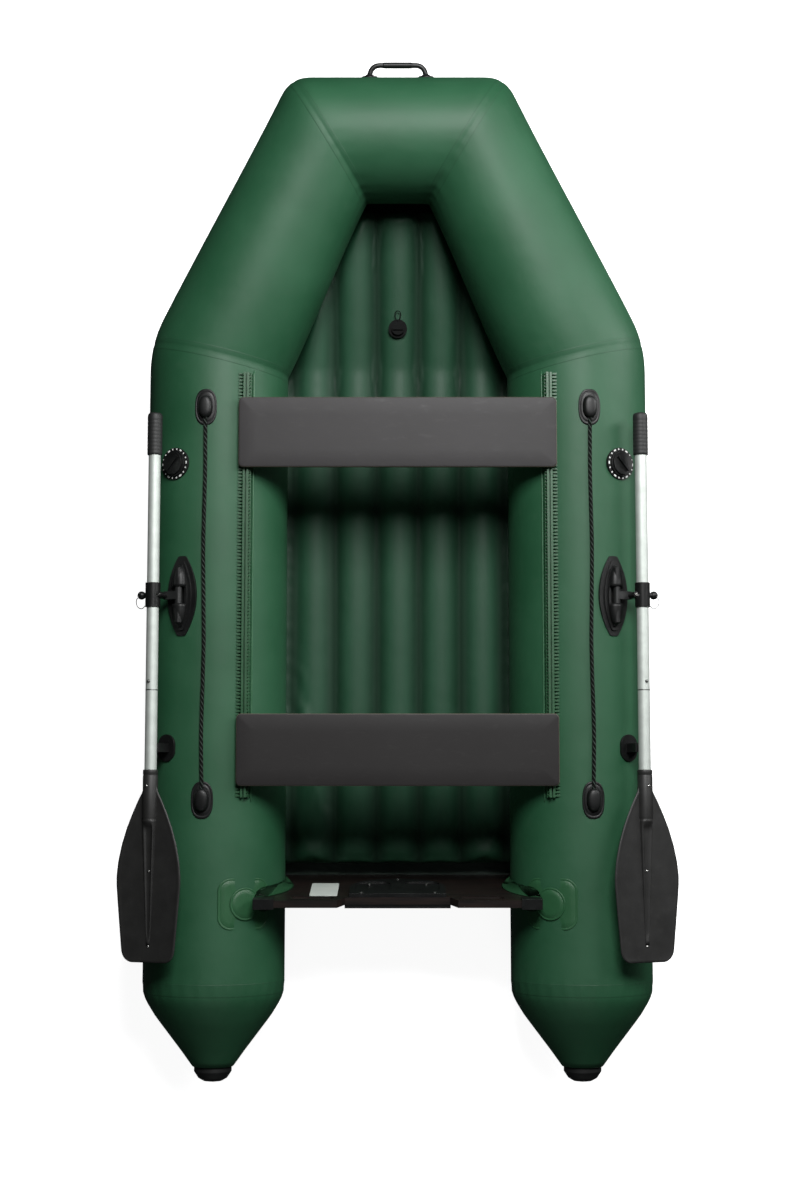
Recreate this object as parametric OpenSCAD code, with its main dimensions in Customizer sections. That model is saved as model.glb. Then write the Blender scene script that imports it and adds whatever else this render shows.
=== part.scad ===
// Small transom dinghy: inflatable hull, air floor, two sliding thwarts and a pair of oars.
// Frame: X to starboard, Y to the bow, Z up, origin on the ground under the middle of the boat.

/* [Hull] */
// Length over all, from the stern cone tips to the bow handle
overall_l = 2860; // [2600:4:3432]
// Beam over the side tubes
beam = 1418; // [1340:2:1702]
// Diameter of the side tubes
tube_d = 394; // [328:2:420]
// Diameter of the bow tube
bow_tube_d = 352; // [310:2:420]
// How far the mitre points of the bow tube's axis lie inboard of the side tubes' axes
bow_in = 315; // [280:1:330]
// Angle of the slanted bow tubes from the side tubes, seen from above
bow_angle = 27; // [22:0.5:35]
// Height of the bow tube's axis above the side tubes' axis
bow_rise = 107; // [60:1:160]
// Thickness of the coated fabric
skin = 1; // [0.8:0.1:2]
// Length of a stern cone from its seam to its cap
cone_l = 222; // [160:2:300]
// Radius of the black cap that closes a stern cone
cone_cap_r = 52; // [35:1:70]
// Length of the cap beyond the cone
cone_cap_l = 42; // [20:1:60]
// Thickness of the bottom fabric
sheet_t = 1.2; // [0.8:0.1:2]

/* [Air floor] */
// Thickness of the inflated floor
floor_t = 92; // [60:1:110]
// Number of lengthwise air chambers
floor_chambers = 5; // [3:1:7]
// Pitch of the chambers
chamber_pitch = 122; // [100:1:130]

/* [Transom] */
// Height of the transom's top edge above the ground
transom_top = 405; // [380:1:430]
// How far the transom's ends lie inboard of the side tubes' axes
transom_in = 126; // [110:1:150]
// Thickness of the plywood
transom_t = 20; // [15:1:25]
// Rake of the transom, top edge aft
transom_rake = 8; // [0:0.5:12]
// Distance from the stern cone seam to the transom's foot
transom_to_cone = 298; // [240:2:360]
// Width of the motor cut-out at its floor
motor_cut_w = 284; // [220:2:320]
// Depth of the motor cut-out
motor_cut_d = 45; // [20:1:70]
// Width of the inner motor pad
inner_pad_w = 264; // [200:2:280]
// Height of the inner motor pad
inner_pad_h = 232; // [150:2:250]
// Thickness of each motor pad
pad_t = 10; // [6:1:14]
// Length of a hand-hold slot
hand_hold_l = 116; // [90:1:130]
// Height of a hand-hold slot
hand_hold_h = 28; // [22:1:32]
// Distance of a hand-hold's middle from the boat's centre line
hand_hold_x = 230; // [225:1:240]

/* [Thwarts] */
// How far a seat reaches outboard of the middle of its rails
seat_overhang = 19; // [14:0.5:26]
// Depth of a seat along the boat
seat_d = 196; // [160:2:240]
// Thickness of a seat board
seat_t = 12; // [9:1:18]
// Distance of a seat rail from the crown line of its side tube, inboard
rail_in = 92; // [80:1:98]
// Length of a seat rail
rail_l = 1176; // [1000:2:1240]
// Middle of the rails along the boat
rail_y = -60; // [-90:1:0]
// Middle of the front seat along the boat
front_seat_y = 356; // [340:1:370]
// Middle of the rear seat along the boat
rear_seat_y = -519; // [-530:1:-480]
// Radius of the bead that slides in the rail
bead_r = 3.5; // [3:0.1:4]
// Clearance all round the bead and its web
bead_gap = 0.5; // [0.4:0.1:0.8]

/* [Rowlocks] */
// Place of the rowlocks along the boat
rowlock_y = -97; // [-130:1:-60]
// Angle of the rowlock from the crown of its tube, outboard
rowlock_clock = 24; // [20:0.5:27]
// Length of the rowlock's rubber base
rowlock_base_l = 221; // [200:1:260]
// Width of the rowlock's rubber base
rowlock_base_w = 88; // [70:1:100]
// Height of the hinge pin above the tube
hinge_h = 20; // [18:0.5:24]
// Radius of the hinge pin
hinge_pin_r = 4; // [3:0.5:5]
// Distance from the hinge pin to the oar's axis, outboard
oar_out = 60; // [56:1:66]
// Height of the oar's axis over the hinge pin
oar_lift = 35; // [35:0.5:40]
// Distance from the swivel rivet to the oar's axis
rivet_in = 22; // [21:0.5:24]
// Radius of the swivel rivet
rivet_r = 3.5; // [3:0.5:4]
// Radial clearance of the hinge pin and of the rivet
pivot_gap = 0.08; // [0.05:0.01:0.1]

/* [Oars] */
// Length of an oar
oar_l = 1497; // [1350:1:1650]
// Grip end of the oar, forward of amidships
oar_front_y = 408; // [380:1:420]
// Radius of the oar's shaft
shaft_r = 16.5; // [13.75:0.25:17]
// Wall of the oar's shaft
shaft_wall = 1.5; // [1:0.1:2]
// Radius of the grip
grip_r = 20.5; // [19:0.5:22]
// Length of the grip
grip_l = 118; // [100:1:160]
// Width of the blade
blade_w = 200; // [150:2:220]
// Length of the blade with its socket
blade_l = 516; // [420:2:560]
// Length of the collar that holds the oar in the rowlock
collar_l = 66; // [50:1:70]
// Place of the joint between the two shaft sections
shaft_joint_y = -357; // [-380:1:-330]

/* [Fittings] */
// Place of the tube valves along the boat
valve_y = 273; // [260:1:330]
// Angle of the tube valves from the crown of their tube, outboard
valve_clock = 32; // [28:0.5:38]
// Radius of a tube valve's flange
valve_r = 44.5; // [38:0.5:50]
// Travel of a valve's spring-loaded plunger
plunger_travel = 5; // [3:0.5:6]
// Distance of the lifelines from the tube crown, outboard
lifeline_out = 19; // [10:1:24]
// Diameter of a lifeline
lifeline_d = 11; // [8:0.5:12]
// Place of the forward rope mounts
mount_front_y = 427; // [400:1:440]
// Place of the after rope mounts
mount_rear_y = -655; // [-680:1:-640]
// Place of the oar clips along the boat
clip_y = -513; // [-540:1:-440]
// Width of the bow handle
handle_w = 148; // [120:1:180]
// How far the bow handle stands forward of the tube
handle_out = 42; // [32:1:56]
// How far the bow handle points upwards
handle_tilt = 13; // [0:1:25]

/* [Hidden] */
$fn = 96;
glue_gap = 0.1;          // glue line under a part that is stuck on a tube
part_gap = 0.4;          // clearance between pieces of different moving bodies
fit_gap = 0.1;           // clearance between pieces that are fixed together
far = 4000;              // longer than anything that is cut

tube_r = tube_d / 2;
bow_r = bow_tube_d / 2;
tube_x = beam / 2 - tube_r;
tube_z = tube_r;
handle_bar = 8;
bow_y = overall_l / 2 - handle_bar - (bow_r + handle_out - handle_bar) * cos(handle_tilt);
bow_x = tube_x - bow_in;
shoulder_y = bow_y - (tube_x - bow_x) / tan(bow_angle);
cone_y = cone_cap_l + cone_l - overall_l / 2;
side_dir = [0, 1, 0];
slant = [bow_x - tube_x, bow_y - shoulder_y, bow_rise];
slant_l = norm(slant);
slant_dir = slant / slant_l;
front_dir = [-1, 0, 0];
shoulder_turn = acos(side_dir * slant_dir);
bow_turn = acos(slant_dir * front_dir);

floor_z = 4 + sheet_t + 1;
floor_top = floor_z + floor_t;
ramp = atan((bow_rise + tube_r - bow_r) / (bow_y - shoulder_y));
floor_half_w = tube_x - sqrt(tube_r ^ 2 - (tube_z - floor_top) ^ 2) - 8;
transom_foot_y = cone_y + transom_to_cone;
floor_rear_y = transom_foot_y + 32;
floor_front_y = bow_y - bow_r + 18;
foot_z = floor_z + 2;
board_l = (transom_top - foot_z) / cos(transom_rake);
transom_w = 2 * (tube_x - transom_in);

rail_w_r = sqrt(tube_r ^ 2 - rail_in ^ 2);
rail_h = 16;
rail_top = rail_w_r + rail_h;
bead_z = rail_w_r + 8.5;
strip_gap = 0.8;
strip_t = 2;
seat_bottom = tube_z + rail_top + strip_gap + strip_t;
seat_w = 2 * (tube_x - rail_in + seat_overhang);

pin_h = tube_r + hinge_h;
oar_h = pin_h + oar_lift;
rivet_x = oar_out - rivet_in;
knuckle_r = 11;
oar_rear_y = oar_front_y - oar_l;
blade_root_y = oar_rear_y + blade_l;
lifeline_r = lifeline_d / 2;
lifeline_clock = asin(lifeline_out / (tube_r + lifeline_r));
lifeline_h = tube_r + lifeline_r + glue_gap + 0.4;
oar_reach = sqrt(oar_out ^ 2 + oar_h ^ 2);
oar_clock = rowlock_clock + atan(oar_out / oar_h);
throat_r = 19;
floor_valve_y = floor_front_y - 344;

// Points of a lifeline: its place along the boat and how far it strays outboard of its straight line.
lifeline_route = [
    [-678, 0], [-655, 0], [-632, 0], [-604, 0], [-577, 1], [-549, 1.5], [-521, 2], [-493, 2.5], [-465, 2.5],
    [-437, 2], [-409, 1.5], [-381, 1], [-353, 0], [-325, -0.5], [-297, -1], [-269, -1.5], [-241, -2],
    [-213, -2], [-185, -1.5], [-157, -1], [-129, -0.5], [-101, 0], [-73, 0.5], [-45, 1], [-17, 1.5],
    [11, 2], [39, 2], [67, 2], [95, 1.5], [123, 1], [151, 0.5], [179, 0], [207, -0.5], [235, -1],
    [263, -1], [291, -1], [319, -0.5], [347, -0.5], [375, 0], [404, 0], [427, 0], [450, 0]];

port = -1;
starboard = 1;

// Puts a piece that is drawn around the starboard tube's axis on either side tube.
module on_side(side) {
    translate([side * tube_x, 0, tube_z]) mirror([side < 0 ? 1 : 0, 0, 0]) children();
}

// Turns a piece outboard round the tube, so that its Z points out of the tube.
module clocked(angle) { rotate([0, angle, 0]) children(); }

// The tube itself, as a cutter for whatever is glued on it.
module tube_cut(gap) { rotate([90, 0, 0]) cylinder(r = tube_r + gap, h = far, center = true); }

// A rounded rectangle in the plane, by its full sizes.
module rounded(w, h, r) {
    square([w - 2 * r, h], center = true);
    square([w, h - 2 * r], center = true);
    for (x = [-1, 1], y = [-1, 1]) translate([x * (w / 2 - r), y * (h / 2 - r)]) circle(r);
}

// A long oval along Y between two shallow arcs, with blunt ends.
module lens(l, w) {
    arc = ((0.57 * l) ^ 2 + (w / 2) ^ 2) / w;
    intersection() {
        translate([arc - w / 2, 0]) circle(arc);
        translate([w / 2 - arc, 0]) circle(arc);
        pill_y(l, w);
    }
}

// A slot with round ends, by its full length and width.
module pill(l, w) {
    square([l - w, w], center = true);
    for (x = [-1, 1]) translate([x * (l - w) / 2, 0]) circle(w / 2);
}

// ---- Hull tubes: fabric panels cut flat at their mitre seams ----

// A fabric tube along Z, given as [height, outer radius] pairs.
module fabric_tube(run) {
    rotate_extrude() polygon(concat([for (p = run) [p[1], p[0]]],
        [for (i = [len(run) - 1 : -1 : 0]) [run[i][1] - skin, run[i][0]]]));
}

// Everything past the mitre plane of a tube that turns by the given angle towards the given roll.
module past_mitre(turn, roll) {
    rotate([0, 0, roll]) rotate([0, -turn / 2, 0]) translate([-far / 2, -far / 2, 0]) cube(far);
}

module front_tube() {
    half = bow_x + bow_r * tan(bow_turn / 2) + 20;
    roll = atan2(slant_dir[1], slant_dir[2]);
    color("darkgreen") translate([0, bow_y, tube_z + bow_rise]) rotate([0, -90, 0]) difference() {
        fabric_tube([[-half, bow_r], [half, bow_r]]);
        translate([0, 0, bow_x]) past_mitre(bow_turn, roll);
        translate([0, 0, -bow_x]) mirror([0, 0, 1]) past_mitre(bow_turn, roll);
    }
}

module bow_tube(side) {
    far_dir = front_dir - (front_dir * slant_dir) * slant_dir;
    ax = -far_dir / norm(far_dir);
    ay = cross(slant_dir, ax);
    back = (side_dir * slant_dir) * slant_dir - side_dir;
    roll = atan2(-(back * ay), -(back * ax));
    lead_in = tube_r * tan(shoulder_turn / 2) + 15;
    lead_out = bow_r * tan(bow_turn / 2) + 15;
    color("darkgreen") mirror([side < 0 ? 1 : 0, 0, 0])
    multmatrix([[ax[0], ay[0], slant_dir[0], tube_x], [ax[1], ay[1], slant_dir[1], shoulder_y],
                [ax[2], ay[2], slant_dir[2], tube_z], [0, 0, 0, 1]])
    difference() {
        fabric_tube([[-lead_in, tube_r], [lead_in, tube_r], [slant_l - lead_out, bow_r],
                     [slant_l + lead_out, bow_r]]);
        mirror([0, 0, 1]) past_mitre(shoulder_turn, roll);
        translate([0, 0, slant_l]) past_mitre(bow_turn, 0);
    }
}

module side_tube(side) {
    lead = tube_r * tan(shoulder_turn / 2) + 15;
    roll = atan2(slant_dir[2], -slant_dir[0]);
    color("darkgreen") on_side(side) difference() {
        rotate([-90, 0, 0]) difference() {
            fabric_tube([[cone_y, tube_r], [shoulder_y + lead, tube_r]]);
            translate([0, 0, shoulder_y]) past_mitre(shoulder_turn, roll);
        }
        translate([0, valve_y, 0]) clocked(valve_clock) cylinder(r = throat_r + glue_gap, h = far);
    }
}

// The end of a side tube: a short parallel lip, then a cone down to the cap's seat.
module stern_cone(side) {
    lip = 14;
    color("darkgreen") on_side(side) translate([0, cone_y, 0]) rotate([90, 0, 0])
        fabric_tube([[0, tube_r], [lip, tube_r - 3], [cone_l, cone_cap_r - 4]]);
}

// Moulded rubber cups over the small ends of the cones, one on each side.
module stern_caps() {
    color("#2a2a2a") for (side = [port, starboard]) on_side(side)
        translate([0, cone_y - cone_l - fit_gap, 0]) rotate([90, 0, 0]) rotate_extrude()
        polygon([[0, 4], [cone_cap_r - 8, 4], [cone_cap_r - 6, 0], [cone_cap_r, 0], [cone_cap_r, 12],
                 [cone_cap_r - 12, 30], [cone_cap_r - 26, cone_cap_l - 4], [0, cone_cap_l - fit_gap]]);
}

// The fabric diaphragm that parts the port air chamber from the starboard one.
module bow_bulkhead() {
    bulge = 26;
    dome_r = ((bow_r - skin) ^ 2 + bulge ^ 2) / (2 * bulge);
    color("#40584a") translate([0, bow_y, tube_z + bow_rise]) rotate([0, 90, 0]) intersection() {
        cylinder(r = bow_r - skin - fit_gap, h = 4 * bulge, center = true);
        translate([0, 0, -dome_r + bulge / 2]) difference() {
            sphere(dome_r);
            sphere(dome_r - skin);
        }
    }
}

// ---- Bottom and air floor ----

// A layer along the boat, flat as far as the shoulder and then rising to the bow.
module keel_layer(bottom, top, rear, front, half_w) {
    rise = (front - shoulder_y) * tan(ramp);
    rotate([90, 0, 90]) linear_extrude(height = 2 * half_w, center = true)
        polygon([[rear, bottom], [shoulder_y, bottom], [front, bottom + rise], [front, top + rise],
                 [shoulder_y, top], [rear, top]]);
}

// The space between the tubes at a distance inside their axes, seen from above.
module between_tubes(inside, rear, front) {
    x = tube_x - inside;
    knee_y = shoulder_y - inside * tan(bow_angle / 2);
    front_x = x - (front - knee_y) * tan(bow_angle);
    linear_extrude(height = far, center = true)
        polygon([[-x, rear], [x, rear], [x, knee_y], [front_x, front], [-front_x, front], [-x, knee_y]]);
}

module bottom_sheet() {
    color("#33473c") intersection() {
        keel_layer(4, 4 + sheet_t, transom_foot_y - 40, bow_y - 45, tube_x);
        between_tubes(tube_r * 0.3, cone_y, bow_y - 45);
    }
}

module air_floor() {
    edge = tube_x - floor_half_w;
    color("#2f4a3b") difference() {
        intersection() {
            keel_layer(floor_z, floor_top, floor_rear_y, floor_front_y, tube_x);
            between_tubes(edge, floor_rear_y - 1, floor_front_y + 1);
        }
        intersection() {
            keel_layer(floor_z + skin, floor_top - skin, floor_rear_y + skin, floor_front_y - skin, tube_x);
            between_tubes(edge + skin, floor_rear_y - 1, floor_front_y + 1);
        }
        translate([0, floor_valve_y, floor_top + (floor_valve_y - shoulder_y) * tan(ramp)])
            rotate([ramp, 0, 0]) cylinder(r = 12 + fit_gap, h = 30, center = true);
    }
}

// The fabric webs that hold the floor flat, one between each two chambers.
module floor_webs() {
    inset = skin + fit_gap;
    color("#40584a") intersection() {
        keel_layer(floor_z + inset, floor_top - inset, floor_rear_y + 60, floor_front_y - 60, tube_x);
        union() {
            for (i = [1 : floor_chambers - 1])
                translate([(i - floor_chambers / 2) * chamber_pitch - skin / 2, floor_rear_y, 0])
                    cube([skin, floor_front_y - floor_rear_y, far]);
        }
        between_tubes(tube_x - floor_half_w + 20, floor_rear_y, floor_front_y);
    }
}

module on_floor_valve() {
    translate([0, floor_valve_y, floor_top + (floor_valve_y - shoulder_y) * tan(ramp)])
        rotate([ramp, 0, 0]) children();
}

module floor_valve_body() {
    color("#303332") on_floor_valve() difference() {
        union() {
            translate([0, 0, glue_gap]) cylinder(r = 27, h = 3);
            translate([0, 0, glue_gap]) cylinder(r = 20, h = 7);
            translate([0, 0, -16]) cylinder(r = 12, h = 20);
        }
        translate([0, 0, -20]) cylinder(r = 9, h = 40);
    }
}

module floor_valve_cap() {
    color("#252726") on_floor_valve() {
        translate([0, 0, 7 + part_gap]) cylinder(r = 18, h = 4);
        translate([0, 0, 12]) cube([30, 6, 8], center = true);
        translate([0, 0, 2]) cylinder(r = 9 - part_gap, h = 7);
    }
}

// ---- Transom ----

// Puts a piece on the raked board: Z up along its forward face, Y forward of it.
module on_transom() { translate([0, transom_foot_y, foot_z]) rotate([transom_rake, 0, 0]) children(); }

module transom_outline() {
    difference() {
        translate([-transom_w / 2, 0]) square([transom_w, board_l]);
        polygon([[-motor_cut_w / 2 - 22, board_l + 1], [-motor_cut_w / 2, board_l - motor_cut_d],
                 [motor_cut_w / 2, board_l - motor_cut_d], [motor_cut_w / 2 + 22, board_l + 1]]);
        for (x = [-1, 1]) translate([x * hand_hold_x, board_l - 40]) pill(hand_hold_l, hand_hold_h);
    }
}

module transom_board() {
    color("#3a2c28") difference() {
        on_transom() rotate([90, 0, 0]) linear_extrude(height = transom_t) transom_outline();
        for (side = [port, starboard]) on_side(side) tube_cut(1.5);
    }
}

// Half an oval, flat on top, with its lower corners swept in.
module pad_outline(w, h) {
    intersection() {
        translate([-w / 2, -h]) square([w, h]);
        translate([0, -h + w / 2]) union() {
            circle(w / 2);
            translate([-w / 2, 0]) square([w, h]);
        }
    }
}

module pad_holes() {
    x = inner_pad_w;
    y = inner_pad_h;
    for (p = [[-x * 0.38, -16], [x * 0.38, -16], [-x * 0.3, -y * 0.62], [x * 0.3, -y * 0.62], [0, 14 - y]])
        translate(p) children();
}

module inner_motor_pad() {
    color("#1d1f1e") on_transom() translate([0, glue_gap, board_l - motor_cut_d - 2]) rotate([-90, 0, 0])
    mirror([0, 1, 0]) difference() {
        linear_extrude(height = pad_t) pad_outline(inner_pad_w, inner_pad_h);
        for (x = [-1, 1]) translate([x * (inner_pad_w * 0.25 + 2), -inner_pad_h * 0.46, pad_t - 4])
            linear_extrude(height = 10) rounded(inner_pad_w * 0.36, inner_pad_h * 0.6, 20);
        translate([0, 0, -1]) pad_holes() cylinder(r = 3, h = pad_t + 2);
    }
}

module outer_motor_pad() {
    color("#1d1f1e") on_transom() translate([0, -transom_t - glue_gap - pad_t, board_l - motor_cut_d - 2])
    rotate([-90, 0, 0]) mirror([0, 1, 0])
        linear_extrude(height = pad_t) pad_outline(inner_pad_w + 24, inner_pad_h);
}

module pad_screws() {
    color("silver") on_transom() translate([0, glue_gap, board_l - motor_cut_d - 2]) rotate([-90, 0, 0])
    mirror([0, 1, 0]) pad_holes() {
        translate([0, 0, 0.1]) cylinder(r = 3 - fit_gap, h = pad_t);
        translate([0, 0, pad_t + 0.05]) cylinder(r = 6, h = 2.2);
    }
}

// Moulded caps over the two upper corners of the board.
module transom_end_caps() {
    cap_w = 56;
    cap_h = 34;
    wall = 4;
    color("#232423") for (side = [port, starboard]) difference() {
        on_transom()
            translate([side * (transom_w / 2 - cap_w / 2 + wall), -transom_t / 2, board_l - cap_h / 2 + wall])
            cube([cap_w, transom_t + 2 * wall, cap_h], center = true);
        on_transom() translate([0, fit_gap, 0]) rotate([90, 0, 0])
            linear_extrude(height = transom_t + 2 * fit_gap)
            translate([-transom_w / 2 - fit_gap, 0]) square([transom_w + 2 * fit_gap, board_l + fit_gap]);
        on_side(side) tube_cut(2);
    }
}

// Welded fabric flanges that hold the board between the tubes, one before it and one behind it.
module transom_flanges() {
    flange_w = 24;
    flange_t = 3;
    inner = inner_pad_w / 2 + 20;
    color("#2c5040") for (side = [port, starboard], face = [0, 1])
    intersection() {
        on_transom() translate([-far / 2, face == 0 ? glue_gap : -transom_t - flange_t - glue_gap, 10])
            cube([far, flange_t, board_l - 62]);
        on_side(side) difference() {
            tube_cut(flange_w);
            tube_cut(glue_gap);
        }
        translate([side * (inner + transom_w / 2 - 2) / 2, 0, 0])
            cube([transom_w / 2 - 2 - inner, far, far], center = true);
    }
}

// Where the round transom patches sit on the tube.
disc_clock = -30;
disc_y = transom_foot_y - 67;

module on_disc(side) { on_side(side) translate([0, disc_y, 0]) clocked(disc_clock) children(); }

module transom_patches() {
    color("#3c6450") for (side = [port, starboard]) difference() {
        intersection() {
            on_disc(side) linear_extrude(height = far) rounded(150, 138, 30);
            on_side(side) difference() {
                tube_cut(glue_gap + 1.2);
                tube_cut(glue_gap);
            }
        }
        on_transom() translate([-far / 2, -transom_t - 5, -60]) cube([far, transom_t + 10, far]);
    }
}

module transom_discs() {
    color("#3c6450") for (side = [port, starboard]) difference() {
        intersection() {
            on_disc(side) cylinder(r = 44, h = far);
            on_side(side) difference() {
                tube_cut(2 * glue_gap + 3.2);
                tube_cut(2 * glue_gap + 1.2);
            }
        }
        on_transom() translate([-far / 2, -transom_t - 5, -60]) cube([far, transom_t + 10, far]);
    }
}

// ---- Bow handle ----

module bow_handle() {
    grip = handle_bar;
    color("#242524") translate([0, bow_y, tube_z + bow_rise]) rotate([handle_tilt, 0, 0]) difference() {
        union() {
            translate([0, bow_r + handle_out - grip, 0]) rotate([0, 90, 0])
                cylinder(r = grip, h = handle_w - 2 * grip, center = true);
            for (x = [-1, 1]) translate([x * (handle_w / 2 - grip), 0, 0]) {
                translate([0, bow_r + handle_out - grip, 0]) sphere(grip);
                rotate([-90, 0, 0]) cylinder(r = grip, h = bow_r + handle_out - grip);
                translate([0, bow_r - 4, 0]) rotate([-90, 0, 0]) cylinder(r = 22, h = 8);
            }
        }
        rotate([0, 90, 0]) cylinder(r = bow_r + glue_gap, h = far, center = true);
    }
}

// ---- Thwarts and their rails ----

module rail(side) {
    color("#33553f") on_side(side) translate([-rail_in, rail_y, 0]) difference() {
        union() {
            translate([-8, -rail_l / 2, rail_w_r - 12]) cube([16, rail_l, rail_h + 12]);
            translate([-14, -rail_l / 2, rail_w_r - 16]) cube([36, rail_l, 20]);
        }
        translate([rail_in, 0, 0]) tube_cut(glue_gap);
        translate([-22, -rail_l, rail_w_r - 3]) rotate([0, -26, 0]) translate([0, 0, 2])
            cube([15, 2 * rail_l, 30]);
        translate([9, -rail_l, rail_w_r - 5]) rotate([0, 24, 0]) translate([-0.8, 0, 3])
            cube([30, 2 * rail_l, 30]);
        translate([0, 0, bead_z]) rotate([90, 0, 0])
            cylinder(r = bead_r + bead_gap, h = 2 * rail_l, center = true);
        translate([-1.2 - bead_gap, -rail_l, bead_z]) cube([2.4 + 2 * bead_gap, 2 * rail_l, far]);
    }
}

module seat(y) {
    color("#4d4f4e") translate([0, y, seat_bottom]) linear_extrude(height = seat_t)
        rounded(seat_w, seat_d, 12);
}

// The beaded strips under a seat's ends, which slide in the rails.
module seat_strips(y) {
    strip_l = seat_d - 36;
    color("#1c1e1d") for (side = [port, starboard]) on_side(side) translate([-rail_in, y, 0]) {
        translate([0, 0, bead_z]) rotate([90, 0, 0]) cylinder(r = bead_r, h = strip_l, center = true);
        translate([-1.2, -strip_l / 2, bead_z])
            cube([2.4, strip_l, rail_top + strip_gap + strip_t - fit_gap - bead_z]);
        translate([-9, -strip_l / 2, rail_top + strip_gap]) cube([18, strip_l, strip_t - fit_gap]);
    }
}

// ---- Lifelines and their mounts ----

module rope_mounts() {
    dome_h = 20;
    color("#262827") for (side = [port, starboard], y = [mount_front_y, mount_rear_y])
    on_side(side) translate([0, y, 0]) clocked(lifeline_clock) difference() {
        intersection() {
            union() {
                linear_extrude(height = tube_r + 3.5) pill_y(101, 61);
                linear_extrude(height = tube_r + dome_h) pill_y(60, 34);
            }
            rotate([90, 0, 0]) cylinder(r = tube_r + dome_h - 0.5, h = far, center = true);
        }
        rotate([0, -lifeline_clock, 0]) tube_cut(glue_gap);
        translate([0, 0, lifeline_h]) rotate([90, 0, 0])
            cylinder(r = lifeline_r + fit_gap, h = far, center = true);
    }
}

module pill_y(l, w) { rotate([0, 0, 90]) pill(l, w); }

// A round cord swept along Y through a list of [place, sideways] points.
module cord(route, r, height) {
    sides = 10;
    n = len(route);
    ring = function(p) [for (i = [0 : sides - 1])
        [p[1] + r * cos(i * 360 / sides), p[0], height + r * sin(i * 360 / sides)]];
    points = [for (p = route) each ring(p)];
    walls = [for (k = [0 : n - 2], i = [0 : sides - 1])
        [k * sides + i, k * sides + (i + 1) % sides, (k + 1) * sides + (i + 1) % sides, (k + 1) * sides + i]];
    ends = [[for (i = [sides - 1 : -1 : 0]) i], [for (i = [0 : sides - 1]) (n - 1) * sides + i]];
    polyhedron(points, concat(walls, ends), convexity = 4);
}

module lifeline(side) {
    color("#20251f") on_side(side) clocked(lifeline_clock) cord(lifeline_route, lifeline_r, lifeline_h);
}

// ---- Tube valves ----

module on_valve(side) { on_side(side) translate([0, valve_y, 0]) clocked(valve_clock) children(); }

module valve_body(side) {
    color("#3b3e3d") on_valve(side) difference() {
        union() {
            difference() {
                union() {
                    translate([0, 0, tube_r - 8]) cylinder(r = valve_r, h = 12);
                    translate([0, 0, tube_r - 8]) cylinder(r = valve_r - 9, h = 18);
                }
                tube_cut(glue_gap);
            }
            translate([0, 0, tube_r - 24]) cylinder(r = throat_r, h = 30);
        }
        translate([0, 0, tube_r - 18]) cylinder(r = throat_r - 3, h = 60);
        translate([0, 0, tube_r - 30]) cylinder(r = 5.3, h = 20);
        translate([0, 0, tube_r + 4]) cylinder(r = throat_r + 6, h = 30);
    }
}

// The twist-off cap with its grip bar.
module valve_cap(side) {
    seat = tube_r + 10 + part_gap;
    color("#262827") on_valve(side) difference() {
        union() {
            translate([0, 0, seat]) cylinder(r = valve_r - 13, h = 5);
            translate([0, 0, tube_r + 4 + part_gap]) cylinder(r = throat_r + 6 - part_gap, h = 8);
            translate([0, 0, seat + 7]) rotate([0, 0, 45]) cube([9, 52, 8], center = true);
        }
        translate([0, 0, tube_r]) cylinder(r = throat_r + 2, h = 8);
    }
}

// The spring-loaded stem that opens the valve when it is pressed.
module valve_plunger(side) {
    color("#c9ccc8") on_valve(side) {
        translate([0, 0, tube_r - 38]) cylinder(r = 5, h = 38);
        translate([0, 0, tube_r - 4]) cylinder(r = 9, h = 4);
        translate([0, 0, tube_r - 27]) cylinder(r = 15, h = 2.5);
    }
}

// The coil spring round the stem, between the bottom of the throat and the stem's button.
module valve_spring(side) {
    coil_r = 7.4;
    wire_r = 0.7;
    turns = 4;
    rings = 12 * turns;
    low = tube_r - 18 + wire_r + 0.1;
    high = tube_r - 4 - wire_r - 0.1;
    sides = 6;
    points = [for (k = [0 : rings], i = [0 : sides - 1])
        let (a = 360 * turns * k / rings, r = coil_r + wire_r * cos(360 * i / sides))
        [r * cos(a), r * sin(a), low + (high - low) * k / rings + wire_r * sin(360 * i / sides)]];
    walls = [for (k = [0 : rings - 1], i = [0 : sides - 1])
        [k * sides + i, (k + 1) * sides + i, (k + 1) * sides + (i + 1) % sides, k * sides + (i + 1) % sides]];
    ends = [[for (i = [0 : sides - 1]) i], [for (i = [sides - 1 : -1 : 0]) rings * sides + i]];
    color("silver") on_valve(side) polyhedron(points, concat(walls, ends), convexity = 8);
}

// ---- Rowlocks ----

module on_rowlock(side) { on_side(side) translate([0, rowlock_y, 0]) clocked(rowlock_clock) children(); }

window_l = 46;
knuckle_l = 150;

module rowlock_base(side) {
    color("#202221") on_rowlock(side) difference() {
        union() {
            difference() {
                intersection() {
                    union() {
                        linear_extrude(height = tube_r + 3) lens(rowlock_base_l, rowlock_base_w);
                        linear_extrude(height = tube_r + 8) lens(rowlock_base_l - 30, rowlock_base_w - 26);
                        linear_extrude(height = tube_r + 15) lens(rowlock_base_l - 52, rowlock_base_w - 44);
                        linear_extrude(height = pin_h) pill_y(knuckle_l + 8, 2 * knuckle_r);
                    }
                    rotate([90, 0, 0]) cylinder(r = pin_h, h = far, center = true);
                }
                rotate([0, -rowlock_clock, 0]) tube_cut(glue_gap);
            }
            translate([0, 0, pin_h]) rotate([90, 0, 0]) cylinder(r = knuckle_r, h = knuckle_l, center = true);
        }
        translate([-knuckle_r - 4, -window_l / 2, tube_r + 5]) cube([60, window_l, 60]);
        translate([0, 0, pin_h]) rotate([90, 0, 0])
            cylinder(r = hinge_pin_r + fit_gap / 2, h = knuckle_l - 20, center = true);
    }
}

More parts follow.
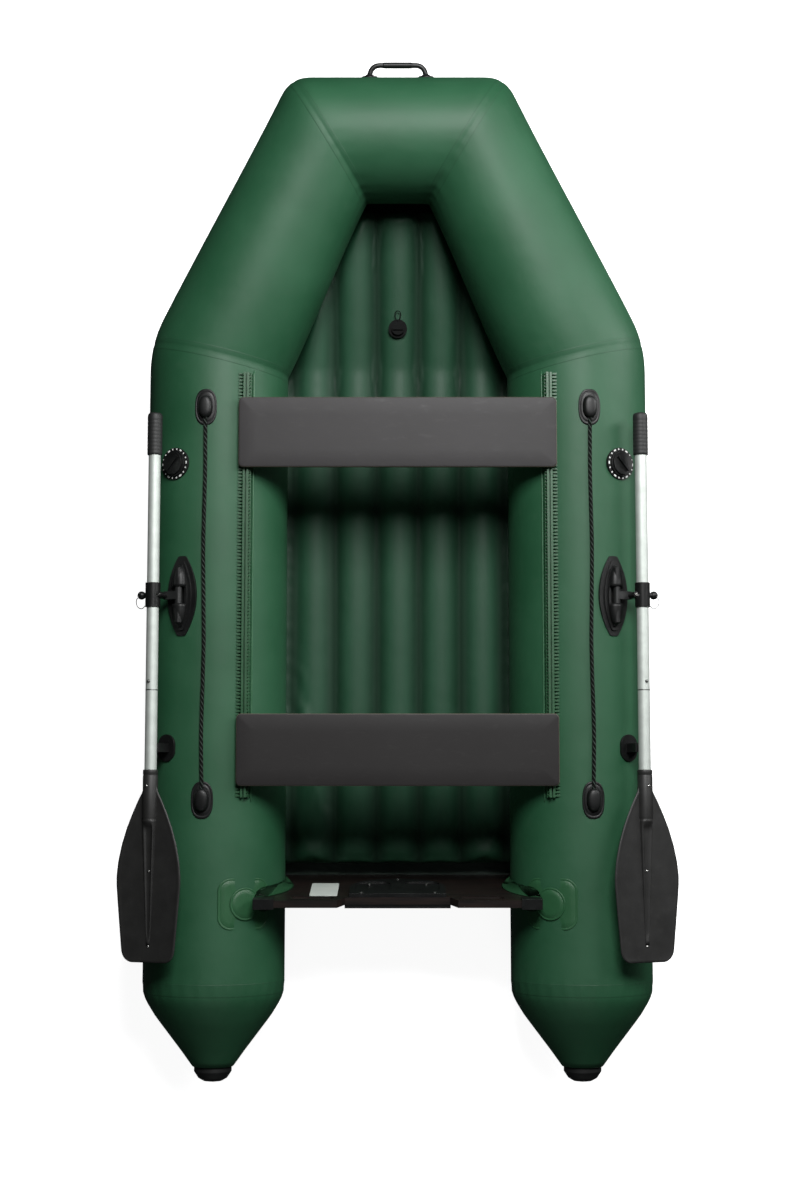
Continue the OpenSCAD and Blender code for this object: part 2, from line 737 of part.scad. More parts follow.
module rowlock_hinge_pins() {
    color("silver") for (side = [port, starboard]) on_rowlock(side) translate([0, 0, pin_h])
        rotate([90, 0, 0]) cylinder(r = hinge_pin_r, h = knuckle_l - 22, center = true);
}

// The T-shaped arm: a barrel on the hinge pin and a tongue that carries the swivel rivet.
module rowlock_arm(side) {
    barrel_l = window_l - 2 * part_gap;
    tongue_t = 10;
    eye_r = 11;
    color("#3d3f3e") on_rowlock(side) difference() {
        union() {
            translate([0, 0, pin_h]) rotate([90, 0, 0])
                cylinder(r = knuckle_r - 1, h = barrel_l, center = true);
            translate([0, -11, pin_h]) cube([rivet_x, 22, tongue_t]);
            translate([rivet_x, 0, pin_h]) cylinder(r = eye_r, h = tongue_t);
        }
        translate([0, 0, pin_h]) rotate([90, 0, 0])
            cylinder(r = hinge_pin_r + pivot_gap, h = far, center = true);
        translate([rivet_x, 0, 0]) cylinder(r = rivet_r + pivot_gap, h = far);
    }
}

// The rivet that the collar turns on, with a head under the arm.
module swivel_rivet(side) {
    head_r = 7;
    color("silver") on_rowlock(side) translate([rivet_x, 0, 0]) {
        translate([0, 0, pin_h - 2.5 - part_gap]) cylinder(r = head_r, h = 2.5);
        translate([0, 0, pin_h - 2.5 - part_gap]) cylinder(r = rivet_r, h = oar_lift + 12);
        translate([0, 0, oar_h + 5 + fit_gap]) cylinder(r = head_r - 2, h = 3);
    }
}

module oar_collar(side) {
    lug_r = 8.5;
    wall = 4;
    lug_bottom = pin_h + 10 + part_gap;
    color("#2b2d2c") on_rowlock(side) difference() {
        union() {
            translate([oar_out, 0, oar_h]) rotate([90, 0, 0])
                cylinder(r = shaft_r + wall, h = collar_l, center = true);
            translate([rivet_x, 0, lug_bottom]) cylinder(r = lug_r, h = oar_h + 5 - lug_bottom);
            translate([rivet_x, -lug_r, lug_bottom])
                cube([rivet_in - shaft_r + 8, 2 * lug_r, oar_h + 5 - lug_bottom]);
            translate([oar_out, 0, oar_h]) rotate([0, 90, 0]) cylinder(r = 7, h = shaft_r + 14);
            translate([oar_out + shaft_r + 19, 0, oar_h]) sphere(11.5);
        }
        translate([oar_out, 0, oar_h]) rotate([90, 0, 0])
            cylinder(r = shaft_r + fit_gap / 2, h = far, center = true);
        translate([rivet_x, 0, 0]) cylinder(r = rivet_r + fit_gap / 2, h = far);
        translate([rivet_x, 0, oar_h + 5]) cylinder(r = 5.3, h = far);
    }
}

// ---- Oars ----

module on_oar(side) { on_side(side) clocked(rowlock_clock) translate([oar_out, 0, oar_h]) children(); }

// A round bar or tube along the oar between two places.
module along_oar(y0, y1, r) {
    translate([0, max(y0, y1), 0]) rotate([90, 0, 0]) cylinder(r = r, h = abs(y1 - y0));
}

module oar_grip(side) {
    color("#1f2120") on_oar(side) difference() {
        union() {
            along_oar(oar_front_y - 4, oar_front_y - grip_l, grip_r);
            translate([0, oar_front_y - 4, 0]) rotate([-90, 0, 0])
                cylinder(r1 = grip_r, r2 = grip_r - 3, h = 4);
        }
        along_oar(oar_front_y - 8, oar_front_y - grip_l - 1, shaft_r + fit_gap / 2);
    }
}

insert_l = 80;
button_y = shaft_joint_y + 23;
button_r = 4.5;

module upper_shaft(side) {
    color("#e6e9e8") on_oar(side) difference() {
        along_oar(oar_front_y - 8 - fit_gap, shaft_joint_y, shaft_r);
        along_oar(oar_front_y - 20, shaft_joint_y - 1, shaft_r - shaft_wall);
        translate([0, button_y, 0]) cylinder(r = button_r + part_gap, h = far);
    }
}

module lower_shaft(side) {
    core_r = shaft_r - shaft_wall - fit_gap;
    color("#e6e9e8") on_oar(side) difference() {
        union() {
            along_oar(shaft_joint_y - fit_gap, blade_root_y - 120, shaft_r);
            along_oar(shaft_joint_y + insert_l, shaft_joint_y - 30, core_r);
        }
        along_oar(shaft_joint_y + insert_l + 1, blade_root_y - 90, core_r - shaft_wall);
        translate([0, button_y, 0]) cylinder(r = button_r + part_gap, h = far);
    }
}

// The spring button that locks the two shaft sections together.
module snap_button(side) {
    color("silver") on_oar(side) translate([0, button_y, 0]) {
        translate([0, 0, shaft_r - 9]) cylinder(r = button_r, h = 9);
        translate([0, 0, shaft_r]) sphere(button_r);
    }
}

// The blade: a socket over the shaft's end, a tapering rib and a flat paddle.
module oar_blade(side) {
    socket_l = 139;
    rib_y = blade_root_y - socket_l;
    shoulder = 30;
    half_w = blade_w / 2;
    plate_t = 5;
    corner = 26;
    color("#161817") on_oar(side) difference() {
        union() {
            along_oar(blade_root_y, rib_y, grip_r);
            translate([0, rib_y, 0]) rotate([90, 0, 0])
                cylinder(r1 = grip_r, r2 = 6, h = blade_l - socket_l - 48);
            translate([0, 0, -plate_t / 2]) linear_extrude(height = plate_t) union() {
                polygon([[-18, rib_y + 98], [-shoulder, rib_y + 60], [-half_w * 0.8, rib_y - 60],
                         [-half_w, rib_y - 150], [-half_w, rib_y - 170],
                         [-half_w * 0.84, oar_rear_y + corner], [half_w * 0.84, oar_rear_y + corner],
                         [half_w, rib_y - 170], [half_w, rib_y - 150],
                         [half_w * 0.8, rib_y - 60], [shoulder, rib_y + 60], [18, rib_y + 98]]);
                translate([0, oar_rear_y + corner]) rounded(blade_w * 0.84, 2 * corner, corner - 1);
            }
        }
        along_oar(blade_root_y + 1, blade_root_y - 120 - fit_gap, shaft_r + fit_gap / 2);
        along_oar(blade_root_y - 118, rib_y + 2, shaft_r - 3);
    }
}

// Cradles on the tubes for the stowed oars: a floor under the shaft and a lip inboard of it, low enough
// for the shaft to rise past it.
module oar_clips() {
    length = 74;
    floor_h = 4;
    lip_t = 8;
    color("#262827") for (side = [port, starboard]) on_side(side) translate([0, clip_y, 0]) {
        difference() {
            union() {
                clocked(oar_clock) translate([0, 0, tube_r - 10]) linear_extrude(height = 14)
                    rounded(60, length, 29);
                clocked(rowlock_clock) translate([oar_out - shaft_r - lip_t, -12, tube_r - 30])
                    cube([shaft_r + lip_t + 14, 24, oar_lift + hinge_h + 30 - shaft_r - part_gap]);
                clocked(rowlock_clock) translate([oar_out - shaft_r - lip_t, -12, tube_r - 30])
                    cube([lip_t - part_gap, 24, oar_lift + hinge_h + 30 - 6]);
            }
            tube_cut(glue_gap);
            clocked(rowlock_clock) translate([oar_out + 14, -far / 2, tube_r + 4]) rotate([0, 28, 0])
                translate([2, 0, -1]) cube([60, far, oar_h - tube_r - shaft_r - floor_h - 6]);
        }
    }
}

front_tube();
bow_tube(port);  // port_bow_tube
bow_tube(starboard);  // starboard_bow_tube
side_tube(port);  // port_side_tube
side_tube(starboard);  // starboard_side_tube
stern_cone(port);  // port_stern_cone
stern_cone(starboard);  // starboard_stern_cone
stern_caps();
bow_bulkhead();
bottom_sheet();
air_floor();
floor_webs();
floor_valve_body();
floor_valve_cap();
transom_board();
inner_motor_pad();
outer_motor_pad();
pad_screws();
transom_end_caps();
transom_flanges();
transom_patches();
transom_discs();
bow_handle();
rail(port);  // port_rail
rail(starboard);  // starboard_rail
seat(front_seat_y);  // front_seat
seat(rear_seat_y);  // rear_seat
seat_strips(front_seat_y);  // front_seat_strips
seat_strips(rear_seat_y);  // rear_seat_strips
rope_mounts();
lifeline(port);  // port_lifeline
lifeline(starboard);  // starboard_lifeline
valve_body(port);  // port_valve_body
valve_body(starboard);  // starboard_valve_body
valve_cap(port);  // port_valve_cap
valve_cap(starboard);  // starboard_valve_cap
valve_plunger(port);  // port_valve_plunger
valve_plunger(starboard);  // starboard_valve_plunger
valve_spring(port);  // port_valve_spring
valve_spring(starboard);  // starboard_valve_spring
rowlock_base(port);  // port_rowlock_base
rowlock_base(starboard);  // starboard_rowlock_base
rowlock_hinge_pins();
rowlock_arm(port);  // port_rowlock_arm
rowlock_arm(starboard);  // starboard_rowlock_arm
swivel_rivet(port);  // port_swivel_rivet
swivel_rivet(starboard);  // starboard_swivel_rivet
oar_collar(port);  // port_oar_collar
oar_collar(starboard);  // starboard_oar_collar
oar_grip(port);  // port_oar_grip
oar_grip(starboard);  // starboard_oar_grip
upper_shaft(port);  // port_upper_shaft
upper_shaft(starboard);  // starboard_upper_shaft
lower_shaft(port);  // port_lower_shaft
lower_shaft(starboard);  // starboard_lower_shaft
oar_blade(port);  // port_oar_blade
oar_blade(starboard);  // starboard_oar_blade
snap_button(port);  // port_snap_button
snap_button(starboard);  // starboard_snap_button
oar_clips();
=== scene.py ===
from math import asin, copysign, cos, degrees, exp, hypot, pi, radians, sin, sqrt, tan

import bmesh
import bpy
from mathutils import Matrix, Vector, noise


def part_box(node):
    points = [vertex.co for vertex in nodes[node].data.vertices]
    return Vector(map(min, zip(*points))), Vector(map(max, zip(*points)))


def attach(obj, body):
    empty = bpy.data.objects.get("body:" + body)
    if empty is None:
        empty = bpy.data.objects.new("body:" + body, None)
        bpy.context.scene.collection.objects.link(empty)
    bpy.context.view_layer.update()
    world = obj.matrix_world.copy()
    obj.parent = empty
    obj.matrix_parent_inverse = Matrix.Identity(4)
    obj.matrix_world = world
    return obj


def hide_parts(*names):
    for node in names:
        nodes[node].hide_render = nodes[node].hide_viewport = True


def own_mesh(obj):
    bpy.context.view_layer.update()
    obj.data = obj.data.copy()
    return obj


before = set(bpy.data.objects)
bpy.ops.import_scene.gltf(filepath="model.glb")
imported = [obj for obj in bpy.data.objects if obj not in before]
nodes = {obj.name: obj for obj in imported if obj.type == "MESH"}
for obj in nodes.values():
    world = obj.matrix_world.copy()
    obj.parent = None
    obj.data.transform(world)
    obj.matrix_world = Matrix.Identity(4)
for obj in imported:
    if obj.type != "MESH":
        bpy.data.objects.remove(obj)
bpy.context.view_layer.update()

# ---- The studio ----
# A seamless pale floor, a large soft box over the bow, a tall one to starboard and a weak one astern,
# and a camera almost straight above the boat, pitched a little towards the bow.

scene = bpy.context.scene
camera = bpy.data.objects.new("camera", bpy.data.cameras.new("camera"))
scene.collection.objects.link(camera)
camera.location = (0.005, -0.6658, 5.682)
camera.rotation_euler = (radians(6.0), 0, 0)
camera.data.sensor_width = 36
camera.data.lens = 58.26
camera.data.clip_end = 60
scene.camera = camera


def soft_box(name, place, target, size, power):
    light = bpy.data.objects.new(name, bpy.data.lights.new(name, "AREA"))
    scene.collection.objects.link(light)
    light.location = place
    light.rotation_euler = (Vector(target) - Vector(place)).to_track_quat("-Z", "Y").to_euler()
    light.data.shape = "RECTANGLE"
    light.data.size, light.data.size_y = size
    light.data.energy = power


soft_box("overhead", (0.55, 2.35, 4.3), (0, 0.1, 0.2), (1.9, 2.1), 250)
soft_box("rim", (3.6, 1.7, 1.6), (0.3, 0.5, 0.25), (1.0, 3.8), 115)
soft_box("tail", (0, -3.3, 2.4), (0, -1.3, 0.2), (2.4, 1.0), 7)

world = bpy.data.worlds.new("studio")
scene.world = world
world.use_nodes = True
world.node_tree.nodes["Background"].inputs["Color"].default_value = (0.92, 0.96, 1.0, 1)
world.node_tree.nodes["Background"].inputs["Strength"].default_value = 0.022
scene.view_settings.view_transform = "Standard"


class Value:
    """A shader socket that takes part in Python arithmetic by adding Math nodes."""

    def __init__(self, finish, socket):
        self.finish, self.socket = finish, socket

    def math(self, operation, *others):
        return self.finish.node("ShaderNodeMath", {"operation": operation}, [self, *others])

    def __add__(self, other):
        return self.math("ADD", other)

    __radd__ = __add__

    def __mul__(self, other):
        return self.math("MULTIPLY", other)

    def __sub__(self, other):
        return self.math("SUBTRACT", other)

    def __rsub__(self, other):
        return self.finish.node("ShaderNodeMath", {"operation": "SUBTRACT"}, [other, self])


class Finish:
    """One material: a Principled shader whose constants are set on its own sockets."""

    def __init__(self, name, colour=(0.5, 0.5, 0.5), **constants):
        self.material = bpy.data.materials.new(name)
        self.material.use_nodes = True
        self.tree = self.material.node_tree
        self.shader = self.tree.nodes["Principled BSDF"]
        self.shader.inputs["Base Color"].default_value = (*colour, 1)
        for socket, value in constants.items():
            self.shader.inputs[socket.replace("_", " ")].default_value = value

    def node(self, kind, settings, inputs, out=0):
        made = self.tree.nodes.new(kind)
        for key, value in settings.items():
            setattr(made, key, value)
        for key, value in inputs.items() if isinstance(inputs, dict) else enumerate(inputs):
            self.feed(made.inputs[key], value)
        return Value(self, made.outputs[out])

    def feed(self, socket, value):
        if isinstance(value, Value):
            self.tree.links.new(value.socket, socket)
        else:
            socket.default_value = value

    def mix(self, factor, one, two):
        one, two = [(*c, 1) if isinstance(c, tuple) else c for c in (one, two)]
        return self.node("ShaderNodeMix", {"data_type": "RGBA"}, {0: factor, 6: one, 7: two}, 2)

    def place(self, scale=(1, 1, 1), uv=False):
        coordinate = self.node("ShaderNodeTexCoord", {}, {}, "UV" if uv else "Object")
        return self.node("ShaderNodeMapping", {}, {"Vector": coordinate, "Scale": scale})

    def axis(self, number, scale=(1, 1, 1), uv=False):
        return self.node("ShaderNodeSeparateXYZ", {}, [self.place(scale, uv)], number)

    def noise(self, size, detail=3, stretch=(1, 1, 1), rough=0.5):
        return self.node("ShaderNodeTexNoise", {}, {"Vector": self.place(stretch), "Scale": 1 / size,
                                                    "Detail": detail, "Roughness": rough})

    def band(self, value, low, high):
        """0 at low and below, 1 at high and beyond."""
        return self.node("ShaderNodeMapRange", {}, {"Value": value, "From Min": low, "From Max": high})

    def span(self, value, ends):
        """A value from 0 to 1 spread between two ends."""
        return self.node("ShaderNodeMapRange", {}, {"Value": value, "To Min": ends[0], "To Max": ends[1]})

    def bump(self, *layers, normal=None):
        """Layers are (height, depth in metres), laid over each other and over a first normal."""
        for height, depth in layers:
            inputs = {"Height": height, "Distance": depth, "Strength": 1.0}
            if normal:
                inputs["Normal"] = normal
            normal = self.node("ShaderNodeBump", {}, inputs)
        self.feed(self.shader.inputs["Normal"], normal)

    def set(self, **links):
        for socket, value in links.items():
            self.feed(self.shader.inputs[socket.replace("_", " ")], value)
        return self.material


floor_finish = Finish("studio_floor", (0.86, 0.86, 0.86), Roughness=0.9, Emission_Strength=0.9,
                      Emission_Color=(1, 1, 1, 1))
floor_finish.set(Base_Color=floor_finish.mix(floor_finish.noise(1.5), (0.85, 0.85, 0.85),
                                             (0.88, 0.88, 0.88)))
bm = bmesh.new()
bmesh.ops.create_grid(bm, x_segments=1, y_segments=1, size=14)
studio_floor = bpy.data.objects.new("studio_floor", bpy.data.meshes.new("studio_floor"))
bm.to_mesh(studio_floor.data)
studio_floor.data.materials.append(floor_finish.material)
scene.collection.objects.link(studio_floor)
studio_floor.visible_diffuse = False
studio_floor.visible_glossy = False


# ---- Hull tubes ----
# PVC-coated polyester, cut flat and welded into tubes that meet at mitre seams under a tape.
# Blown up, each mitre rounds off on its outer side and puckers at its inner crease.


def outline(name):
    """The lowest and highest corners of a CAD node, and its middle."""
    low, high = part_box(name)
    return low, high, (low + high) / 2


side_low, side_high, side_mid = outline("starboard_side_tube")
front_low, front_high, front_mid = outline("front_tube")
tube_r = (side_high.x - side_low.x) / 2
bow_r = (front_high.y - front_low.y) / 2
tube_x, tube_z = side_mid.x, side_mid.z
bow_y, bow_z = front_mid.y, front_mid.z
corner_x, slant_angle = 0.197, radians(27)
shoulder_y = bow_y - (tube_x - corner_x) / tan(slant_angle)
cone_end, cone_y = [corner.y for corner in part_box("starboard_stern_cone")]
port, starboard = -1, 1
both_sides = (port, "port"), (starboard, "starboard")


def smooth(t):
    t = min(max(t, 0), 1)
    return t * t * (3 - 2 * t)


def bend(start, corner, end, t):
    """A point on the curve that leaves start and reaches end along the corner's two legs."""
    return start * (1 - t) ** 2 + corner * 2 * t * (1 - t) + end * t ** 2


def stepped(stops, place):
    """The value at a place, from (place, value) pairs whose places rise."""
    for (p0, v0), (p1, v1) in zip(stops, stops[1:]):
        if place <= p1:
            return v0 + (v1 - v0) * (place - p0) / (p1 - p0)
    return stops[-1][1]


def finished(name, bm, finish, body="hull", replaced=(), faceted=False, materials=(),
             closed=True):
    """Turns a bmesh into a piece that rides on a body; closed fills the hidden ends and undersides."""
    if closed:
        bmesh.ops.holes_fill(bm, edges=[e for e in bm.edges if e.is_boundary], sides=0)
    bmesh.ops.recalc_face_normals(bm, faces=bm.faces)
    mesh = bpy.data.meshes.new(name)
    for face in bm.faces:
        face.smooth = not faceted
    bm.to_mesh(mesh)
    bm.free()
    made = bpy.data.objects.new(name, mesh)
    scene.collection.objects.link(made)
    for material in (finish, *materials):
        mesh.materials.append(material)
    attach(made, body)
    if replaced:
        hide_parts(*replaced)
    return made


def skin_rows(bm, rows, closed=True, uv=None, flip=False):
    """Faces between rows of vertices; uv gives each (row, column) its place in metres."""
    layer = bm.loops.layers.uv.verify() if uv else None
    for j in range(len(rows) - 1):
        count = len(rows[j])
        for i in range(count if closed else count - 1):
            corners = [(j, i), (j, i + 1), (j + 1, i + 1), (j + 1, i)]
            if flip:
                corners.reverse()
            face = bm.faces.new([rows[a][b % count] for a, b in corners])
            if uv:
                for loop, corner in zip(face.loops, corners):
                    loop[layer].uv = uv(*corner)


def capped(bm, rows):
    bm.faces.new(rows[0])
    bm.faces.new(rows[-1])


def fabric(name, one, two, rough=(0.36, 0.46), weave=0.0011, tape=None, shine=0.42, crease_shade_pitch=None):
    """Coated fabric: a fine woven relief under a satin coat, a slow change of tone, scuffs and dust, and
    painted shade along creases when their pitch is given.
    """
    f = Finish(name, one, Specular_IOR_Level=shine, Coat_Roughness=0.34)
    spots = f.noise(0.22, 4)
    colour = f.mix(f.band(spots, 0.35, 0.65), one, two)
    dust = f.band(f.noise(0.035, 6, rough=0.65), 0.56, 0.78)
    colour = f.mix(dust * 0.06, colour, (0.12, 0.17, 0.13))
    across, along = ((f.axis(k, (1 / weave,) * 3, uv=True) * 6.2832).math("SINE") for k in (0, 1))
    scuffs = f.noise(0.012, 5, (1, 0.25, 1))
    layers = [(f.noise(0.09, 2), 0.0016), (across * along * 0.5 + 0.5, 0.00008), (scuffs, 0.00012)]
    roughness = f.span(spots, rough) + dust * 0.10
    if tape:
        seam = f.node("ShaderNodeAttribute", {"attribute_name": "seam"}, {}, "Fac")
        edge = f.band(seam, tape, tape + 0.0015)
        layers.append((1 - edge, 0.0004))
        line = f.band((seam - tape).math("ABSOLUTE"), 0.0022, 0.0006)
        colour = f.mix(line * 0.30, colour, tuple(c * 0.35 for c in one))
        colour = f.mix((1 - edge) * 0.25, colour, tuple(c * 0.8 for c in two))
    # Painted shade: the colour darkens towards each crease between the floor's chambers, where shade falls.
    if crease_shade_pitch:
        near = (f.axis(0, (1 / crease_shade_pitch, 1, 1)) + 0.5).math("PINGPONG", 0.5)
        colour = f.mix(f.band(near, 0.30, 0.0) * 0.72, colour, tuple(c * 0.14 for c in one))
        roughness = roughness + f.band(near, 0.14, 0.02) * 0.38
    f.bump(*layers)
    return f.set(Base_Color=colour, Roughness=roughness, Coat_Weight=0.08 - dust * 0.06)


green = fabric("hull_fabric", (0.014, 0.080, 0.034), (0.020, 0.095, 0.043), rough=(0.50, 0.60), tape=0.016)

hull_ring = 144
# How much smaller than the tube the stern cone is, by its distance aft of the seam.
cone_steps = [(0, 0), (0.012, 0.001), (0.03, 0.0065), (0.05, 0.0165), (0.082, 0.0365), (0.13, 0.073),
              (0.18, 0.111), (0.212, 0.134), (0.222, 0.1415)]


def generatrix(angle):
    """One lengthwise line of the starboard half, from the cone's end to the centre line at the bow,
    with each point's distance to the nearest seam."""
    side_dir, front_dir = Vector((0, 1, 0)), Vector((-1, 0, 0))
    shoulder, corner = Vector((tube_x, shoulder_y, tube_z)), Vector((corner_x, bow_y, bow_z))
    slant = corner - shoulder
    length, slant_dir = slant.length, slant.normalized()
    out = Vector((cos(angle), 0, sin(angle)))
    turned = side_dir.rotation_difference(slant_dir).to_matrix() @ out
    front_out = slant_dir.rotation_difference(front_dir).to_matrix() @ turned
    n1, n2 = (side_dir + slant_dir).normalized(), (slant_dir + front_dir).normalized()
    reach1 = -(out.dot(n1)) / side_dir.dot(n1) * tube_r
    reach2 = -(turned.dot(n2)) / slant_dir.dot(n2) * bow_r
    outer1 = (1 + reach1 / (tube_r * tan(side_dir.angle(slant_dir) / 2))) / 2
    outer2 = (1 + reach2 / (bow_r * tan(slant_dir.angle(front_dir) / 2))) / 2
    round1, round2 = 0.012 + 0.075 * outer1 ** 1.5, 0.012 + 0.046 * outer2 ** 1.4
    crease1, crease2 = 0.25 * (1 - outer1) ** 2, (1 - outer2) ** 1.6
    cone_folds = 0.0009 * sin(angle * 31)
    points, seams = [], []

    def bent(before, at, after, d, radius):
        """A point near a mitre, at a signed distance along the line, with the corner rounded."""
        if d <= -radius:
            return at + before * d
        if d >= radius:
            return at + after * d
        return bend(at - before * radius, at, at + after * radius, (d + radius) / (2 * radius))

    def add(point, radial, d, inner, puckers):
        """Adds a point, sunk by its seam's groove, puckered by its crease and swollen a little."""
        folds = sin(angle * puckers + 1.3 * sin(angle * 7)) * exp(-abs(d) / 0.03)
        groove = -0.0014 * exp(-(d / 0.006) ** 2)
        swell = 0.0006 * noise.noise(Vector((angle * 1.6, point.y * 4, 3.1)))
        points.append(point + radial * (groove + folds * 0.0009 * inner + swell))
        seams.append(abs(d))

    for step in range(15):
        d = cone_y - cone_end - 0.002 if step == 14 else 0.0158 * step
        place = Vector((tube_x, cone_y - d, tube_z)) + out * (tube_r - stepped(cone_steps, d))
        groove = -0.0018 * exp(-(d / 0.005) ** 2)
        points.insert(0, place + out * (groove + cone_folds * exp(-d / 0.02)))
        seams.insert(0, d)
    run = shoulder_y + reach1 - cone_y
    corner_point = Vector((tube_x, 0, tube_z)) + out * tube_r + side_dir * (shoulder_y + reach1)
    for t in (0.006, 0.012, 0.02, 0.04, 0.07, 0.12, 0.18, 0.25, 0.32, 0.39, 0.46, 0.53, 0.60, 0.66, 0.72,
              0.77, 0.81, 0.845, 0.87, 0.89, 0.905, 0.92, 0.932, 0.944, 0.954, 0.963, 0.971, 0.978, 0.984,
              0.990, 0.995):
        d = (t - 1) * run
        near = min(-d, run + d)
        add(bent(side_dir, corner_point, slant_dir, d, round1), out, near, crease1 if near == -d else 0, 36)
        points[-1] += out * (cone_folds * exp(-(run + d) / 0.02))
    slant_run = length + reach1 + reach2
    start = shoulder + turned * tube_r - slant_dir * reach1
    end = corner + turned * bow_r + slant_dir * reach2
    for t in (0, 0.006, 0.013, 0.022, 0.033, 0.046, 0.06, 0.076, 0.094, 0.115, 0.14, 0.17, 0.21, 0.27, 0.34,
              0.42, 0.5, 0.58, 0.66, 0.72, 0.77, 0.81, 0.845, 0.875, 0.9, 0.92, 0.938, 0.953, 0.966, 0.977,
              0.986, 0.994):
        radius = tube_r + (bow_r - tube_r) * smooth(t)
        if t < 0.5:
            d = t * slant_run
            line = start + slant_dir * d
            if d < round1:
                line = bent(side_dir, start, slant_dir, d, round1)
            add(line + turned * (radius - tube_r), turned, d, crease1, 36)
        else:
            d = (t - 1) * slant_run
            line = end + slant_dir * d
            if d > -round2:
                line = bent(slant_dir, end, front_dir, d, round2)
            add(line + turned * (radius - bow_r), turned, d, crease2, 26)
    front_run = corner_x + reach2
    start = corner + front_out * bow_r - front_dir * reach2
    for t in (0, 0.02, 0.045, 0.075, 0.11, 0.15, 0.2, 0.26, 0.33, 0.41, 0.5, 0.6, 0.7, 0.8, 0.9, 1):
        d = t * front_run
        point = bent(slant_dir, start, front_dir, d, round2) if d < round2 else start + front_dir * d
        add(point, front_out, d, crease2, 26)
    points[-1].x = 0
    return points, seams


def hull_mesh():
    bm = bmesh.new()
    seam = bm.verts.layers.float.new("seam")
    lines = [generatrix(2 * pi * (i / hull_ring) - pi / 2) for i in range(hull_ring)]
    stations = len(lines[0][0])
    along = [0.0]
    for j in range(1, stations):
        along.append(along[-1] + (lines[0][0][j] - lines[0][0][j - 1]).length)
    for side in (starboard, port):
        rows = []
        for j in range(stations):
            row = []
            for points, seams in lines:
                vert = bm.verts.new((side * points[j].x, points[j].y, points[j].z))
                vert[seam] = seams[j]
                row.append(vert)
            rows.append(row)
        skin_rows(bm, rows, uv=lambda j, i: (i / hull_ring * 2 * pi * tube_r, side * along[j]),
                  flip=side < 0)
        bm.faces.new(rows[0])
    bmesh.ops.remove_doubles(bm, verts=[v for v in bm.verts if abs(v.co.x) < 1e-5], dist=1e-4)
    return bm


finished("inflated_hull", hull_mesh(), green, replaced=(
    "front_tube", "port_bow_tube", "starboard_bow_tube", "port_side_tube", "starboard_side_tube",
    "port_stern_cone", "starboard_stern_cone"))


# ---- Moulded fittings left as machined shapes ----
# Rubber cups, rail extrusions, valve and rowlock mouldings, rivets and pins keep their exact shape.
# Each takes the surface of its own stuff, with its edges a little rounded by wear.


def moulded(name, one, two, rough=(0.4, 0.55), grain=0.0012, edge=0.0009, **constants):
    """Moulded rubber or plastic: a fine spark-eroded grain, flow marks, thin dust and rounded edges."""
    f = Finish(name, one, **constants)
    flow = f.noise(0.05, 4)
    dust = f.band(f.noise(0.02, 6, rough=0.7), 0.55, 0.8)
    colour = f.mix(dust * 0.05, f.mix(f.band(flow, 0.3, 0.7), one, two), (0.11, 0.115, 0.11))
    rounded = f.node("ShaderNodeBevel", {"samples": 4}, {"Radius": edge})
    f.bump((f.noise(grain, 2), 0.00012), (flow, 0.0006), normal=rounded)
    return f.set(Base_Color=colour, Roughness=f.span(flow, rough) + dust * 0.12)


def metal(name, colour, rough=(0.22, 0.34), brushed=(1, 0.02, 1), metallic=1.0):
    """Drawn or turned metal: fine lengthwise lines, a thin oxide bloom and a few handling marks."""
    f = Finish(name, colour, Metallic=metallic)
    lines = f.noise(0.0011, 3, brushed)
    bloom = f.noise(0.03, 5, rough=0.6)
    marks = f.band(f.noise(0.006, 6, rough=0.75), 0.62, 0.8)
    f.bump((lines, 0.000004), (marks, 0.00002))
    dull = tuple(c * 0.86 for c in colour)
    return f.set(Base_Color=f.mix(f.band(bloom, 0.35, 0.7), colour, dull),
                 Roughness=f.span(lines, rough) + marks * 0.15)


rubber = moulded("moulded_rubber", (0.005, 0.0055, 0.0055), (0.008, 0.0085, 0.0085), rough=(0.36, 0.5),
                 Specular_IOR_Level=0.36)
cap_rubber = moulded("cap_rubber", (0.008, 0.009, 0.009), (0.012, 0.013, 0.013), rough=(0.38, 0.5))
black_plastic = moulded("black_plastic", (0.005, 0.0055, 0.0055), (0.008, 0.0085, 0.0085),
                        rough=(0.32, 0.44), Specular_IOR_Level=0.36)
matt_plastic = moulded("matt_plastic", (0.004, 0.0045, 0.0045), (0.007, 0.0075, 0.0075), rough=(0.62, 0.74),
                       Specular_IOR_Level=0.12)
grey_plastic = moulded("grey_plastic", (0.012, 0.013, 0.013), (0.018, 0.019, 0.019), rough=(0.34, 0.46))
valve_plastic = moulded("valve_plastic", (0.006, 0.0065, 0.0065), (0.010, 0.0105, 0.0105), rough=(0.4, 0.52),
                        Specular_IOR_Level=0.3)
rail_pvc = moulded("rail_pvc", (0.014, 0.070, 0.027), (0.019, 0.083, 0.033), rough=(0.36, 0.48))
steel = metal("steel_rivet", (0.62, 0.62, 0.60), rough=(0.2, 0.32), brushed=(1, 1, 1))
aluminium = metal("bright_aluminium", (0.66, 0.71, 0.67), rough=(0.56, 0.66), metallic=0.55)
# Painted shade: the bow bulkhead's fabric is coloured the dark green of the shade inside the bow.
inner_fabric = fabric("inner_fabric", (0.006, 0.024, 0.014), (0.008, 0.030, 0.018), rough=(0.5, 0.6))


def dress(finish, *names):
    for name in names:
        nodes[name].data.materials.clear()
        nodes[name].data.materials.append(finish)


def both(stem):
    return "port_" + stem, "starboard_" + stem


